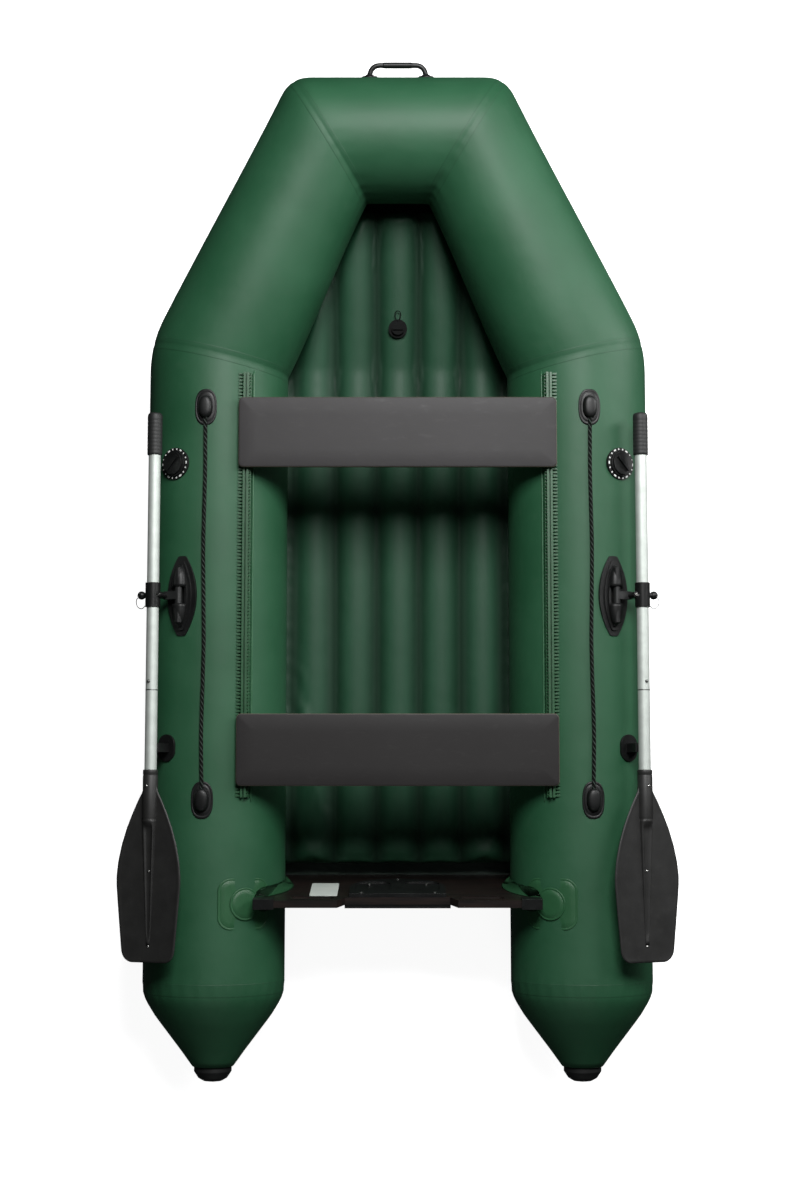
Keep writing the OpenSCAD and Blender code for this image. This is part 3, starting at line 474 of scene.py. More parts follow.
dress(cap_rubber, "stern_caps")
dress(rubber, *both("rowlock_base"), "oar_clips", "front_seat_strips", "rear_seat_strips")
dress(rail_pvc, *both("rail"))
dress(matt_plastic, "floor_valve_body", "floor_valve_cap")
dress(black_plastic, "transom_end_caps", *both("oar_collar"),
      *both("valve_cap"), "outer_motor_pad", "inner_motor_pad")
dress(valve_plastic, *both("valve_body"), *both("valve_plunger"))
dress(grey_plastic, *both("rowlock_arm"))
dress(steel, "rowlock_hinge_pins", *both("swivel_rivet"), *both("valve_spring"), "pad_screws")
dress(aluminium, *both("upper_shaft"), *both("lower_shaft"))
dress(inner_fabric, "bow_bulkhead")


# ---- Air floor ----
# Five lengthwise chambers held by webs, so the top is a row of soft ridges with tight valleys.
# It climbs with the tubes towards the bow and puckers a little along its welds.

floor_low, floor_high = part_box("air_floor")
chamber_pitch, chamber_r = 0.122, 0.0885
climb = (bow_z - tube_z + tube_r - bow_r) / (bow_y - shoulder_y)
half_t = 0.046
floor_z = floor_low.z + half_t


def between(inside, y):
    """Half the clear width at a distance inside the tubes' axes."""
    knee_y = shoulder_y - inside * tan(slant_angle / 2)
    return tube_x - inside - max(0, y - knee_y) * tan(slant_angle)


def lift(y):
    return max(0, y - shoulder_y) * climb


def to_weld(x):
    """How far x is from the nearest weld between two chambers."""
    return abs((x / chamber_pitch) % 1 - 0.5) * chamber_pitch


def sag(x):
    """How far a chamber's top has fallen at a distance from its ridge."""
    return chamber_r - sqrt(chamber_r ** 2 - x * x)


def air_floor_mesh():
    bm = bmesh.new()
    valley = 0.0243
    length = floor_high.y - floor_low.y
    ends = [0, 0.0015, 0.004, 0.008, 0.0125, 0.018]
    steps = ends + [0.025 + 0.95 * i / 108 for i in range(109)] + [1 - t for t in reversed(ends)]
    counts = (10, 20, 12)
    columns = sum(counts)

    def tuck(y):
        """Half the floor's width: it tucks under the tubes, more so at the bow."""
        return between(tube_x - floor_high.x - 0.010 - 0.022 * smooth((y - shoulder_y + 0.1) / 0.3), y)

    def round_off(d):
        return sqrt(max(0, 1 - (1 - min(d, half_t) / half_t) ** 2))

    def height(x, y):
        bulge = sag(chamber_pitch / 2) - sag(chamber_pitch / 2 - to_weld(x))
        outside = abs(x) > 2.5 * chamber_pitch - 0.01
        side = min(1, max(0, (floor_high.x - abs(x)) / 0.02 + 0.2)) if outside else 1
        full = half_t - (valley - bulge) * side
        ends_in = round_off(y - floor_low.y) * round_off(floor_high.y - y)
        return full * round_off(tuck(y) - abs(x)) * ends_in

    def across(y):
        """Columns from the centre line to the edge, with one on every crease."""
        outer = min(1.5 * chamber_pitch, 0.9 * tuck(y))
        knots = (0, min(0.5 * chamber_pitch, 0.5 * outer), outer, tuck(y))
        half = [a + (b - a) * k / n for a, b, n in zip(knots, knots[1:], counts) for k in range(1, n + 1)]
        return [-x for x in reversed(half)] + [0] + half

    for sign in (1, -1):
        rows = []
        for t in steps:
            y = floor_low.y + t * length
            row = []
            for x in across(y):
                z = height(x, y) * (1 if sign > 0 else 0.995)
                row.append(bm.verts.new((x, y, floor_z + lift(y) + sign * z)))
            rows.append(row)
        skin_rows(bm, rows, closed=False, flip=sign < 0,
                  uv=lambda j, i: ((i / columns - 1) * 0.332, steps[j] * length))
    bmesh.ops.remove_doubles(bm, verts=bm.verts, dist=0.0002)
    return bm


def puff(piece, held, pressure, growth, cap):
    """Blows a piece up as cloth with its welds held, and keeps the result, no point moved past the cap."""
    group = piece.vertex_groups.new(name="held")
    before = [v.co.copy() for v in piece.data.vertices]
    for v in piece.data.vertices:
        group.add([v.index], held(v.co), "REPLACE")
    cloth = piece.modifiers.new("cloth", "CLOTH")
    settings = cloth.settings
    settings.quality = 5
    settings.mass = 0.1
    settings.tension_stiffness = settings.compression_stiffness = 12
    settings.bending_stiffness = 0.3
    settings.use_pressure = True
    settings.uniform_pressure_force = pressure
    settings.shrink_min = -growth
    settings.vertex_group_mass = "held"
    settings.effector_weights.gravity = 0
    cloth.collision_settings.use_collision = False
    for frame_number in range(1, 21):
        scene.frame_set(frame_number)
    shaped = piece.evaluated_get(bpy.context.evaluated_depsgraph_get())
    after = [v.co.copy() for v in shaped.data.vertices]
    piece.modifiers.remove(cloth)
    piece.vertex_groups.remove(group)
    scene.frame_set(1)
    for v, old, new in zip(piece.data.vertices, before, after):
        move = new - old
        v.co = old + move * min(1, cap / max(move.length, 1e-9))


# The floor's fabric carries painted shade along its creases.
floor_fabric = fabric("floor_fabric", (0.010, 0.056, 0.026), (0.014, 0.067, 0.033), rough=(0.5, 0.6),
                      shine=0.3, crease_shade_pitch=chamber_pitch)
air_floor = finished("inflated_floor", air_floor_mesh(), floor_fabric,
                     replaced=("air_floor", "floor_webs"))


def floor_weld(point):
    at_edge = abs(point.z - floor_z - lift(point.y)) < 0.004
    return 1.0 if at_edge or to_weld(point.x) < 0.006 else 0.0


puff(air_floor, floor_weld, pressure=3.0, growth=0.02, cap=0.006)
finer = air_floor.modifiers.new("subdivision", "SUBSURF")
finer.levels = finer.render_levels = 1


# ---- Floor valve's tether ----
# A thin rubber loop that keeps the cap with its valve, lying forward of it on the middle chamber.


def angles(count):
    return [2 * pi * i / count for i in range(count)]


def swept(bm, path, radius, sides=10, closed=False):
    """A round bar along a list of points; radius is a number or a list of one for each point."""
    path = [Vector(p) for p in path]
    rows, normal = [], None
    for k, point in enumerate(path):
        ahead = path[(k + 1) % len(path)] if closed or k < len(path) - 1 else point
        behind = path[k - 1] if closed or k else point
        tangent = (ahead - behind).normalized()
        if normal is None:
            normal = tangent.orthogonal()
        normal = (normal - tangent * normal.dot(tangent)).normalized()
        across = tangent.cross(normal)
        r = radius[k] if isinstance(radius, (list, tuple)) else radius
        rows.append([bm.verts.new(point + (normal * cos(a) + across * sin(a)) * r)
                     for a in angles(sides)])
    skin_rows(bm, rows + [rows[0]] if closed else rows,
              uv=lambda j, i: (i / sides * 6.2832 * 0.005, j * 0.004))
    if not closed:
        capped(bm, rows)


def rounded_path(points, radius, steps=6):
    """The points with each inner corner turned into a bend."""
    points = [Vector(p) for p in points]
    out = [points[0]]
    for a, b, c in zip(points, points[1:], points[2:]):
        start = b + (a - b).normalized() * radius
        end = b + (c - b).normalized() * radius
        out += [bend(start, b, end, k / steps) for k in range(steps + 1)]
    return out + [points[-1]]


valve_y = outline("floor_valve_body")[2].y
bm = bmesh.new()
loop = []
for k in range(28):
    a = pi * (0.5 + 2 * k / 28)
    y = valve_y + 0.036 + 0.014 * sin(a)
    x = 0.008 * cos(a) * (1 + 0.3 * sin(a))
    loop.append((x, y, floor_z + half_t + lift(y) - sag(x) + 0.0032))
swept(bm, loop, 0.0014, 8, closed=True)
finished("floor_valve_tether", bm, matt_plastic)


# ---- Bottom ----
# One heavier fabric sheet stretched between the tubes under the air floor, up to the bow, coloured the dark
# green of its shade.

# Painted shade: the sheet's green is the dark green of the shade between the floor and the tubes.
bottom_fabric = fabric("bottom_fabric", (0.006, 0.024, 0.014), (0.008, 0.030, 0.018), rough=(0.45, 0.55))
sheet_back, sheet_front, edge_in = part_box("bottom_sheet")[0].y, bow_y - 0.016, 0.040
bm = bmesh.new()
rows = []
for j in range(81):
    y = sheet_back + (sheet_front - sheet_back) * j / 80
    wide, rise = between(edge_in, y), 0.0044 + lift(y)
    rows.append([bm.verts.new((wide * i / 16, y, rise + 0.0004 * noise.noise((i * 0.9, y * 6, 1))))
                 for i in range(-16, 17)])
skin_rows(bm, rows, closed=False, uv=lambda j, i: ((i / 16 - 1) * 0.45, j * 0.025))
cut_area = sum(f.calc_area() for f in bm.faces)
bottom = finished("stretched_bottom", bm, bottom_fabric, replaced=("bottom_sheet",),
                  closed=False)


def thicken(piece, thickness):
    wall = piece.modifiers.new("thickness", "SOLIDIFY")
    wall.thickness, wall.offset = thickness, 0


thicken(bottom, 0.0012)


# ---- Transom ----
# A lacquered plywood board, raked aft, with black moulded pads for a motor's clamps.
# Fabric gussets weld it to the tubes, and a blank pale label is stuck beside the pad.

ply = Finish("transom_ply", (0.010, 0.008, 0.008), Coat_Weight=0.35, Coat_Roughness=0.12)
grain = ply.noise(0.02, 6, (0.12, 1, 1), rough=0.65)
pores = ply.noise(0.0035, 4, (0.05, 1, 1))
ply.bump((grain, 0.0003), (pores, 0.00015))
ply.set(Base_Color=ply.mix(ply.band(grain, 0.35, 0.65), (0.006, 0.005, 0.005), (0.018, 0.011, 0.009)),
        Roughness=0.3 + pores * 0.2)
dress(ply.material, "transom_board")

rake = radians(8)
foot_y, foot_z, board_top = -0.868, 0.0082, 0.405
board_length = (board_top - foot_z) / cos(rake)
board_frame = Matrix.Translation((0, foot_y, foot_z)) @ Matrix.Rotation(rake, 4, "X")


def rounded_outline(w, h, r, inset=0, arc=6):
    """Points round a rounded rectangle, drawn in by an inset."""
    r = max(r - inset, 0.0002)
    x, y = w / 2 - inset - r, h / 2 - inset - r
    points = []
    for k, (sx, sy) in enumerate(((1, 1), (-1, 1), (-1, -1), (1, -1))):
        for step in range(arc + 1):
            a = pi / 2 * (k + step / arc)
            points.append((sx * x + r * cos(a), sy * y + r * sin(a)))
    return points


def plate(bm, w, h, r, profile, frame_matrix, arc=6):
    """A rounded plate: profile is a list of (inset, height) from its foot to its top."""
    rows = [[bm.verts.new(frame_matrix @ Vector((x, y, z))) for x, y in rounded_outline(w, h, r, inset, arc)]
            for inset, z in profile]
    skin_rows(bm, rows, uv=lambda j, i: rows[j][i % len(rows[j])].co.xy)
    capped(bm, rows)
    return rows


paper = Finish("label_paper", (0.62, 0.66, 0.62), Coat_Weight=0.3, Coat_Roughness=0.2)
paper.bump((paper.noise(0.01, 3), 0.0001))
paper.set(Base_Color=paper.mix(paper.band(paper.noise(0.05, 3), 0.3, 0.7), (0.60, 0.65, 0.61),
                               (0.68, 0.71, 0.67)),
          Roughness=0.35 + paper.noise(0.02, 3) * 0.2)
bm = bmesh.new()
label_frame = board_frame @ Matrix.Translation((-0.203, 0.0001, board_length - 0.066 - 0.095)) \
    @ Matrix.Rotation(radians(-90), 4, "X")
plate(bm, 0.076, 0.190, 0.006, [(0, 0), (0, 0.0003), (0.0004, 0.0005), (0.003, 0.0006)], label_frame)
finished("blank_label", bm, paper.material)

gusset_fabric = fabric("gusset_fabric", (0.012, 0.058, 0.023), (0.016, 0.068, 0.028), rough=(0.4, 0.5))
for side, name in both_sides:
    for face, outward, start in (("fore", 1, 0.0008), ("aft", -1, 0.0208)):
        bm = bmesh.new()
        rows = []
        for j in range(29):
            a = radians(-46 + 98 * j / 28)
            radial = Vector((-cos(a), sin(a)))
            rim = 0.022 * sqrt(max(0.05, min(1, j / 2.5 + 0.1, (28 - j) / 2.5 + 0.1)))
            row = []
            for k in range(9):
                t = k / 8
                off = tube_r + (rim * (1 - t) ** 2 + 0.0024)
                x, z = tube_x + radial.x * off, tube_z + radial.y * off
                y = foot_y - (z - foot_z) * tan(rake) + outward * (start + rim * t ** 2)
                row.append(bm.verts.new((side * x, y, z)))
            rows.append(row)
        skin_rows(bm, rows, closed=False, uv=lambda j, k: (j * 0.012, k * 0.006))
        gusset = finished(name + "_gusset_" + face, bm, gusset_fabric,
                          replaced=("transom_flanges",))
        thicken(gusset, 0.0014)


# ---- Transom patches ----
# Round welded discs over a larger rounded patch, one pair on each tube beside the board's ends.


def mount(side, clock, y):
    """A frame on a side tube's axis with Z out of the tube at a clock angle, outboard positive."""
    c, s = cos(radians(clock)), sin(radians(clock))
    return Matrix(((side * c, 0, side * s, side * tube_x), (0, 1, 0, y), (-s, 0, c, tube_z), (0, 0, 0, 1)))


def raised(bm, frame_matrix, shape, profile):
    """Rings that follow the tube's curve, closed at the last, from (argument of shape, height) pairs."""
    outlines = [shape(step) for step, height in profile]
    rows = [[bm.verts.new(frame_matrix @ Vector((x, y, sqrt((tube_r + height) ** 2 - x * x))))
             for x, y in points] for points, (step, height) in zip(outlines, profile)]
    skin_rows(bm, rows, uv=lambda j, i: outlines[j][i % len(rows[j])])
    centre = bm.verts.new(frame_matrix @ Vector((0, 0, tube_r + profile[-1][1])))
    layer = bm.loops.layers.uv.verify()
    for i, vert in enumerate(rows[-1]):
        after = (i + 1) % len(rows[-1])
        face = bm.faces.new((vert, rows[-1][after], centre))
        for loop, place in zip(face.loops, (outlines[-1][i], outlines[-1][after], (0, 0))):
            loop[layer].uv = place


def oval(a, b, power=2.0, count=48, scale=1.0):
    """A superellipse with half axes a and b; a higher power is squarer."""
    points = []
    for t in angles(count):
        c, s = cos(t), sin(t)
        points.append((copysign(abs(c) ** (2 / power), c) * a * scale,
                       copysign(abs(s) ** (2 / power), s) * b * scale))
    return points


patch_fabric = fabric("patch_fabric", (0.018, 0.086, 0.033), (0.024, 0.102, 0.041), rough=(0.38, 0.46))
disc_y = foot_y - 0.067
for side, name in both_sides:
    bm = bmesh.new()
    at = mount(side, -30, disc_y)
    raised(bm, at, lambda inset: rounded_outline(0.150, 0.138, 0.034, inset, 10),
           ((0, 0.0002), (0, 0.0014), (0.0010, 0.0019), (0.004, 0.0019), (0.005, 0.0013),
            (0.0062, 0.0013), (0.0072, 0.0019), (0.02, 0.0019), (0.05, 0.0019)))
    raised(bm, at, lambda scale: oval(0.044, 0.044, scale=scale),
           ((1, 0.0016), (1, 0.0036), (0.98, 0.0042), (0.92, 0.0042), (0.895, 0.0034),
            (0.86, 0.0034), (0.84, 0.0041), (0.6, 0.0044), (0.3, 0.0044)))
    finished(name + "_transom_disc", bm, patch_fabric,
             replaced=("transom_patches", "transom_discs"))


# ---- Bow handle ----
# A bent black grip with a ribbed sleeve, standing off the bow tube on two round feet.

handle_low, handle_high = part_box("bow_handle")
handle_x = (handle_high.x - handle_low.x) / 2 - 0.008
tilt = radians(13)
around_bow = Matrix.Translation((0, bow_y, bow_z)) @ Matrix.Rotation(tilt, 4, "X")
reach = (handle_high.y - 0.008 - bow_y) / cos(tilt)
bm = bmesh.new()
path = rounded_path([around_bow @ Vector(p) for p in (
    (-handle_x - 0.004, bow_r - 0.006, 0), (-handle_x + 0.008, reach, 0), (handle_x - 0.008, reach, 0),
    (handle_x + 0.004, bow_r - 0.006, 0))], 0.022, 10)
swept(bm, path, 0.0074, 16)
sleeve, radii = [], []
for k in range(49):
    sleeve.append(around_bow @ Vector((-0.042 + 0.084 * k / 48, reach, 0)))
    radii.append((0.0090 if k % 4 in (1, 2) else 0.0085) * (1 if 1 < k < 47 else 0.93))
swept(bm, sleeve, radii, 20)
for side in (port, starboard):
    foot = around_bow @ Matrix(((1, 0, 0, side * handle_x), (0, 0, 1, 0), (0, -1, 0, 0), (0, 0, 0, 1)))
    rows = []
    for s, h in ((1, -0.0005), (1, 0.002), (0.94, 0.0038), (0.62, 0.0046), (0.52, 0.007), (0.42, 0.0085)):
        rows.append([bm.verts.new(foot @ Vector((x, y, sqrt((bow_r + h) ** 2 - y * y))))
                     for x, y in oval(0.022, 0.022, scale=s, count=40)])
    skin_rows(bm, rows, uv=lambda j, i: (i * 0.004, j * 0.003))
    bm.faces.new(rows[-1])
finished("bow_grip", bm, black_plastic, replaced=("bow_handle",))


# ---- Seat rails' toothed flanks ----
# Each welded PVC rail is held down by a row of short teeth along both flanks.
# A thin bead runs along its inboard side.

rail_low, rail_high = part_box("starboard_rail")
bead_pvc = moulded("bead_pvc", (0.034, 0.118, 0.056), (0.042, 0.133, 0.065), rough=(0.34, 0.44))


def on_tube(side, u, y, h):
    return side * (tube_x + u), y, tube_z + sqrt((tube_r + h) ** 2 - u * u)


for side, name in both_sides:
    bm = bmesh.new()
    length = rail_high.y - rail_low.y
    teeth = int(length / 0.0095)
    middle, top = -0.092, rail_high.z - 0.002
    for k in range(teeth):
        y = rail_low.y + length * (k + 0.5) / teeth
        for inner, foot in ((middle + 0.0078, middle + 0.0215), (middle - 0.0078, middle - 0.0165)):
            ring = []
            for dy in (-0.0024, 0.0024):
                crest = top - (0.0010 if inner > middle else 0.0030)
                low_y = y + dy * 1.25
                ring.append([bm.verts.new((side * (tube_x + inner), y + dy, crest)),
                             bm.verts.new(on_tube(side, inner, low_y, -0.001)),
                             bm.verts.new(on_tube(side, foot, low_y, -0.001)),
                             bm.verts.new(on_tube(side, foot, low_y, 0.0018)),
                             bm.verts.new((side * (tube_x + inner + (foot - inner) * 0.25), y + dy,
                                           crest - 0.0012))])
            capped(bm, ring)
            for i in range(5):
                bm.faces.new((ring[0][i], ring[0][(i + 1) % 5], ring[1][(i + 1) % 5], ring[1][i]))
    finished(name + "_rail_teeth", bm, rail_pvc, faceted=True)

    bm = bmesh.new()
    line = [on_tube(side, middle - 0.0195, rail_low.y - 0.012 + (length + 0.02) * k / 80, 0.0012)
            for k in range(81)]
    swept(bm, line, [0.0008] + [0.0024] * 79 + [0.0008], 10)
    finished(name + "_rail_bead", bm, bead_pvc)


# ---- Thwarts ----
# Plywood boards faced with a dark matt laminate; their rounded edges show a pale line of bare ply.

seat_edge = Finish("seat_edge", (0.10, 0.085, 0.065))
layers_wood = seat_edge.noise(0.004, 3, (1, 1, 4))
seat_edge.bump((layers_wood, 0.0003))
seat_edge.set(Base_Color=seat_edge.mix(layers_wood, (0.07, 0.06, 0.045), (0.15, 0.125, 0.095)),
              Roughness=0.5 + layers_wood * 0.2)


def laminate(name, one, two):
    f = Finish(name, one, Specular_IOR_Level=0.3)
    cloudy = f.noise(0.25, 5, rough=0.6)
    pebble = f.noise(0.0016, 3)
    rub = f.band(f.noise(0.05, 7, (1, 3, 1), rough=0.7), 0.56, 0.75)
    f.bump((pebble, 0.00012), (cloudy, 0.0008))
    colour = f.mix(f.band(cloudy, 0.3, 0.7), one, two)
    return f.set(Base_Color=f.mix(rub * 0.08, colour, (0.10, 0.10, 0.095)),
                 Roughness=0.46 + pebble * 0.1 - rub * 0.08)


# The two boards are one laminate given a lit and a shaded colour: the front's lighter, the rear's darker by
# painted shade.
for which, one, two in (("front", (0.023, 0.0215, 0.022), (0.027, 0.025, 0.026)),
                        ("rear", (0.015, 0.0135, 0.0135), (0.018, 0.0165, 0.0165))):
    low, high, mid = outline(which + "_seat")
    bm = bmesh.new()
    thick = high.z - low.z
    profile = [(0.004, 0), (0.0012, 0.0003), (0.0003, 0.0015), (0, 0.0035), (0, thick - 0.0035),
               (0.0004, thick - 0.0016), (0.0014, thick - 0.0004), (0.0036, thick), (0.05, thick)]
    place = Matrix.Translation((mid.x, mid.y, low.z))
    rows = plate(bm, high.x - low.x, high.y - low.y, 0.013, profile, place, 8)
    edge_verts = {v for row in rows[2:7] for v in row}
    for face in bm.faces:
        face.material_index = 1 if all(v in edge_verts for v in face.verts) else 0
    finished(which + "_seat_board", bm, laminate(which + "_seat_laminate", one, two),
             body=which + "_thwart", replaced=(which + "_seat",),
             materials=(seat_edge.material,))


# ---- Lifelines and their mounts ----
# A black laid rope runs along each tube, its ends held in domed rubber mounts on oval flanges.

twine = Finish("rope", (0.006, 0.007, 0.006), Roughness=0.85, Specular_IOR_Level=0.15)
across, along = (twine.axis(k, uv=True) for k in (0, 1))
yarn = ((across * 3.0 + along) * 2600.0).math("SINE") * 0.5 + 0.5
twine.bump((yarn, 0.0004), (twine.noise(0.0008, 3), 0.0002))
# The crowns of the three strands wind once round the rope in its pitch, and are painted paler as a
# highlight.
crown = (across * 546.4 - along * 418.9).math("COSINE")
dark = twine.mix(yarn, (0.001, 0.0015, 0.001), (0.005, 0.006, 0.005))
painted_crown_highlight = twine.band(crown, 0.45, 0.9) * 0.85
twine.set(Base_Color=twine.mix(painted_crown_highlight, dark, (0.075, 0.098, 0.085)))

lifeline_out, lifeline_r = 0.019, 0.0055
lifeline_clock = degrees(asin(lifeline_out / (tube_r + lifeline_r)))
# The line's places in millimetres: even steps between the mounts, with its sideways sway at each.
sway = [1, 1.5, 2, 2.5, 2.5, 2, 1.5, 1, 0, -0.5, -1, -1.5, -2, -2, -1.5, -1, -0.5, 0, 0.5, 1, 1.5,
        2, 2, 2, 1.5, 1, 0.5, 0, -0.5, -1, -1, -1, -0.5, -0.5, 0]
route = [(y, 0) for y in (-678, -655, -632, -604)] + [(28 * k - 577, x) for k, x in enumerate(sway)]
route += [(y, 0) for y in (404, 427, 450)]


def rope(bm, points, radius, pitch):
    """Three strands laid round each other, as one skin with three grooves that wind along it."""
    dense, walked = [], 0
    for a, b in zip(points, points[1:]):
        steps = max(1, round((b - a).length / 0.003))
        dense += [a.lerp(b, k / steps) for k in range(steps)]
    dense.append(points[-1])
    rows = []
    for k, point in enumerate(dense):
        tangent = (dense[min(k + 1, len(dense) - 1)] - dense[max(k - 1, 0)]).normalized()
        side_way = tangent.cross(Vector((0, 0, 1))).normalized()
        up = side_way.cross(tangent)
        if k:
            walked += (point - dense[k - 1]).length
        twist = 2 * pi * walked / pitch
        row = []
        for a in angles(24):
            r = radius * (0.80 + 0.20 * abs(cos(1.5 * (a - twist))) ** 0.7)
            row.append(bm.verts.new(point + (side_way * cos(a) + up * sin(a)) * r))
        rows.append(row)
    skin_rows(bm, rows, uv=lambda j, i: (i / 24 * 0.0345, j * 0.003))
    capped(bm, rows)


for side, name in both_sides:
    at = mount(side, lifeline_clock, 0)
    line = [at @ Vector((x / 1000, y / 1000, tube_r + lifeline_r + 0.0005)) for y, x in route]
    line_length = sum((b - a).length for a, b in zip(line, line[1:]))
    bm = bmesh.new()
    rope(bm, line, lifeline_r, 0.045)
    lifeline = finished(name + "_rope", bm, twine.material,
                        replaced=(name + "_lifeline",))
    bm = bmesh.new()
    for y in (0.427, -0.655):
        at = mount(side, lifeline_clock, y)
        raised(bm, at, lambda scale: oval(0.0305, 0.0505, 2.5, scale=scale),
               ((1, 0.0002), (1, 0.0022), (0.985, 0.0031), (0.95, 0.0036), (0.88, 0.0037),
                (0.86, 0.0031), (0.83, 0.0031), (0.81, 0.0038), (0.7, 0.0041)))
        raised(bm, at, lambda scale: oval(0.0185, 0.0305, 2.3, scale=scale),
               ((1.06, 0.0036), (1.01, 0.0052), (0.99, 0.012), (0.95, 0.0158), (0.86, 0.0184),
                (0.70, 0.0198), (0.50, 0.0207), (0.25, 0.0211)))
    finished(name + "_rope_mounts", bm, rubber, replaced=("rope_mounts",))


# ---- Tube valves ----
# A pale ring of index ticks is printed round the flange of each two-way valve.
# The coil under each stem is given a mesh of its own.

paint = Finish("valve_ticks", (0.80, 0.82, 0.80))
paint.bump((paint.noise(0.0006, 3), 0.00003))
paint.set(Base_Color=paint.mix(paint.noise(0.004, 4), (0.72, 0.75, 0.72), (0.86, 0.87, 0.85)),
          Roughness=0.5 + paint.noise(0.003, 3) * 0.2)
for side, name in both_sides:
    at = mount(side, 32, 0.273) @ Matrix.Translation((0, 0, tube_r + 0.00405))
    bm = bmesh.new()
    for k in range(18):
        turn = Matrix.Rotation(radians(20 * k), 4, "Z") @ Matrix.Translation((0.0405, 0, 0))
        wide = 0.0040 if k % 3 else 0.0080
        plate(bm, 0.0046, wide, 0.0006, [(0, 0), (0, 0.0002), (0.0003, 0.00035)], at @ turn, 1)
    finished(name + "_valve_ticks", bm, paint.material, faceted=True)
    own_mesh(nodes[name + "_valve_spring"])


# ---- Rowlock fairings ----
# Each rowlock base swells into a smooth spindle over its knuckle, open in the middle where the arm sits.

rowlock_clock, rowlock_y = 24, -0.097
fairing_foot, knuckle_top = tube_r + 0.012, tube_r + 0.0320
for side, name in both_sides:
    at = mount(side, rowlock_clock, rowlock_y)
    bm = bmesh.new()
    for way in (1, -1):
        rows = []
        for j in range(15):
            t = (j / 14) ** 0.8
            y = 0.0237 + 0.0593 * t
            shrink = sqrt(max(0.0009, 1 - ((y - 0.004) / 0.0792) ** 2.6))
            wide, tall = 0.0205 * shrink, (knuckle_top - fairing_foot) * shrink ** 0.7
            row = []
            for i in range(25):
                a = pi * i / 24
                x, z = wide * cos(a), tall * sin(a) ** 0.85
                row.append(bm.verts.new(at @ Vector((x, way * y, fairing_foot + z))))
            rows.append(row)
        skin_rows(bm, rows, uv=lambda j, i: (i * 0.0025, j * 0.004))
        capped(bm, rows)
    finished(name + "_rowlock_fairing", bm, rubber)


# ---- Rowlock safety wires ----
# A thin wire loops from the knob on each collar back to the collar's after end.


def oar_frame(side, y=0):
    """The frame of an oar: X outboard across its blade, Y forward along it, Z up off the tube."""
    return mount(side, rowlock_clock, y) @ Matrix.Translation((0.060, 0, 0.252))


wire_finish = metal("safety_wire", (0.16, 0.165, 0.16), rough=(0.3, 0.45), brushed=(1, 1, 1))
dress(wire_finish, *both("snap_button"))
for side, name in both_sides:
    at = oar_frame(side, rowlock_y)
    wire = [at @ Vector(p) for p in (
        (0.0375, -0.004, 0.0105), (0.046, -0.012, 0.010), (0.0485, -0.023, 0.007), (0.044, -0.033, 0.005),
        (0.034, -0.038, 0.006), (0.024, -0.036, 0.009), (0.018, -0.030, 0.0105))]
    bm = bmesh.new()
    swept(bm, rounded_path(wire, 0.004, 3), 0.0011, 8)
    finished(name + "_safety_wire", bm, wire_finish, body=name + "_oar")


# ---- Oars ----
# Alloy shafts with ribbed rubber grips and moulded blades.
# Each blade is a dished paddle on a hollow-topped rib that runs out of its sleeve.

grip_rubber = moulded("grip_rubber", (0.010, 0.011, 0.011), (0.015, 0.016, 0.016), rough=(0.5, 0.64))
blade_plastic = moulded("blade_plastic", (0.015, 0.015, 0.0145), (0.020, 0.020, 0.0195), rough=(0.44, 0.56),
                        grain=0.002)


def turned(bm, frame_matrix, profile, sides=32):
    """A lathe shape along Y from (place, radius) pairs."""
    rows = [[bm.verts.new(frame_matrix @ Vector((r * cos(a), y, r * sin(a))))
             for a in angles(sides)] for y, r in profile]
    skin_rows(bm, rows, uv=lambda j, i: (i / sides * 0.12, profile[j][0]))
    return rows


blade_widths = [(0.614, 0.0195), (0.632, 0.024), (0.655, 0.037), (0.690, 0.054), (0.730, 0.071),
                (0.775, 0.0855), (0.820, 0.0955), (0.860, 0.100), (0.885, 0.0995), (0.940, 0.0945),
                (1.000, 0.0885), (1.055, 0.083)]
blade_end = -1.089


def blade_half_width(y):
    """The blade widens from its neck, and its end has rounded corners."""
    past = -y - blade_widths[-1][0]
    if past <= 0:
        return stepped(blade_widths, -y)
    corner, wide = 0.034, 0.0825
    return wide - corner + corner * sqrt(1 - (past / corner) ** 2)


def blade_mesh(bm, at):
    places = [-0.614 - 0.0105 * k for k in range(43)]
    places += [-1.063, -1.070, -1.076, -1.081, -1.085, -1.0875, -1.0888]
    rims = []
    columns = 16
    for sign in (1, -1):
        rows = []
        for y in places:
            w = blade_half_width(y)
            row = []
            for i in range(-columns, columns + 1):
                s = i / columns
                s = copysign(1 - (1 - abs(s)) ** 1.35, s)
                x = s * w
                inside = min((1 - abs(s)) * w, y - blade_end)
                rim = sqrt(1 - (1 - min(inside / 0.004, 1)) ** 2)
                bead = 0.0009 * exp(-((inside - 0.0055) / 0.0022) ** 2)
                dish = 0.0045 * (x / 0.1) ** 2
                z = sign * (0.0022 * rim + bead) + dish
                row.append(bm.verts.new(at @ Vector((x, y, z))))
            rows.append(row)
        skin_rows(bm, rows, closed=False, uv=lambda j, i: (i * 0.006, places[j]))
        rims.append(rows[0][::-1] + [r[0] for r in rows[1:]] + rows[-1][1:] + [r[-1] for r in rows[-2:0:-1]])
    skin_rows(bm, rims)


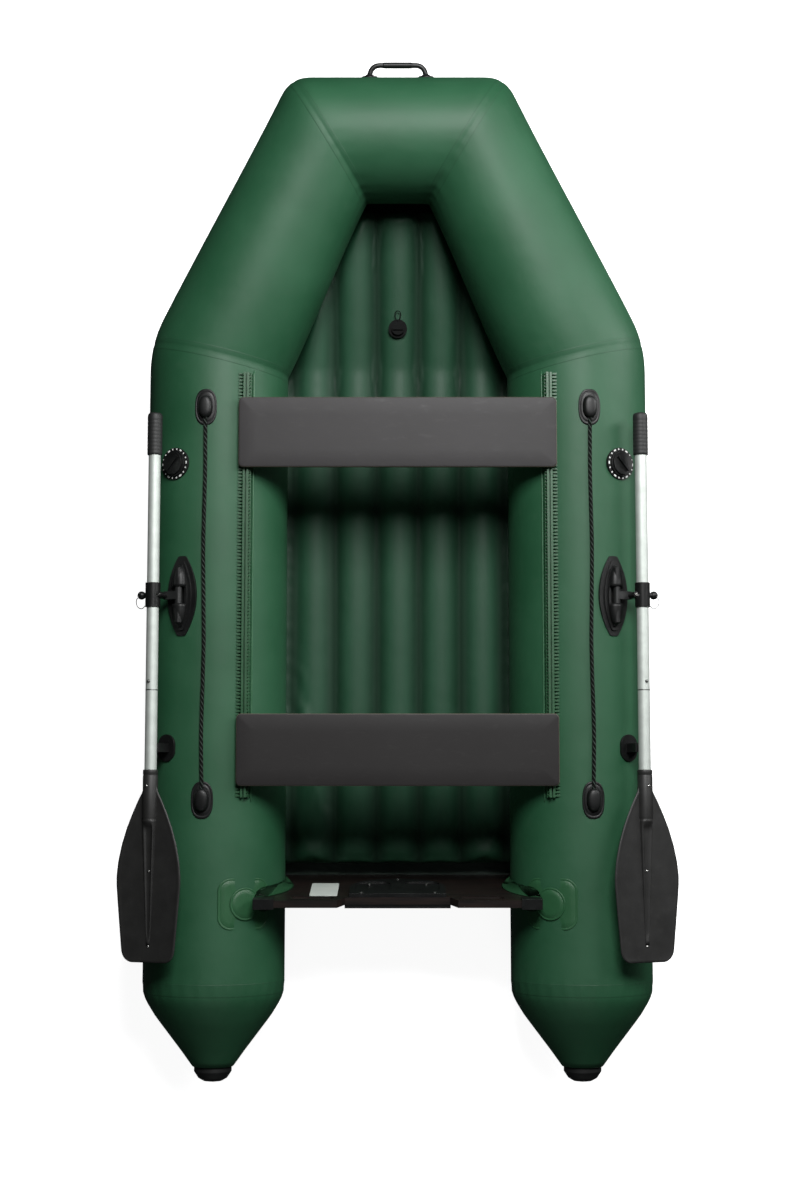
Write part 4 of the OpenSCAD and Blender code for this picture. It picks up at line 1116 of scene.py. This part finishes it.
def rib_mesh(bm, at):
    turned(bm, at, [(-0.5732, 0.0167), (-0.573, 0.0192), (-0.5745, 0.0202), (-0.578, 0.0205),
                    (-0.584, 0.0205), (-0.5855, 0.0198), (-0.5885, 0.0198), (-0.590, 0.0205),
                    (-0.700, 0.0205), (-0.7045, 0.0200), (-0.707, 0.0192)], 40)
    rows = []
    for k in range(33):
        t = k / 32
        y = -0.7035 - 0.3375 * t
        r = 0.0197 + (0.0062 - 0.0197) * t
        hollow = smooth((-0.716 - y) / 0.012) * smooth((y + 1.034) / 0.02)
        row = []
        for a in angles(32):
            x, z = r * cos(a), r * sin(a)
            if z > 0 and abs(x) < 0.72 * r:
                z -= hollow * r * 0.72 * (1 - (x / (0.72 * r)) ** 2) ** 0.5
            row.append(bm.verts.new(at @ Vector((x, y, z))))
        rows.append(row)
    skin_rows(bm, rows, uv=lambda j, i: (i * 0.003, j * 0.0105))
    capped(bm, rows)


def stud(bm, at, x, y, z, r):
    """A domed rivet head that looks up at the place."""
    rows = [[bm.verts.new(at @ Vector((x + r * s * cos(a), y + r * s * sin(a), z + h * r)))
             for a in angles(16)]
            for s, h in ((1, -0.5), (1, 0.1), (0.92, 0.32), (0.7, 0.52), (0.35, 0.62))]
    skin_rows(bm, rows)
    capped(bm, rows)


for side, name in both_sides:
    at = oar_frame(side)
    bm = bmesh.new()
    profile = [(0.4078, 0.004), (0.4079, 0.012), (0.4068, 0.0165), (0.4035, 0.0192), (0.399, 0.0203)]
    for k in range(9):
        y = 0.392 - 0.0105 * k
        profile += [(y, 0.0205), (y - 0.0045, 0.0205), (y - 0.0058, 0.0202), (y - 0.0085, 0.0202)]
    profile += [(0.2965, 0.0205), (0.292, 0.0204), (0.2905, 0.0195), (0.290, 0.0167)]
    rows = turned(bm, at, profile, 36)
    bm.faces.new(rows[0])
    finished(name + "_grip", bm, grip_rubber, body=name + "_oar",
             replaced=(name + "_oar_grip",))

    bm = bmesh.new()
    turned(bm, at, [(-0.3555, 0.0164), (-0.3557, 0.01685), (-0.3583, 0.01685), (-0.3585, 0.0164)], 32)
    finished(name + "_shaft_seam", bm, wire_finish, body=name + "_oar")

    bm = bmesh.new()
    blade_mesh(bm, at)
    rib_mesh(bm, at)
    finished(name + "_blade", bm, blade_plastic, body=name + "_oar",
             replaced=(name + "_oar_blade",))

    bm = bmesh.new()
    stud(bm, at, 0, -0.617, 0.0203, 0.0042)
    for x, y in ((0.0, -0.845), (0.0, -1.046)):
        stud(bm, at, x, y, 0.0022 if y < -1 else 0.0042, 0.0036)
    finished(name + "_blade_rivets", bm, steel, body=name + "_oar")
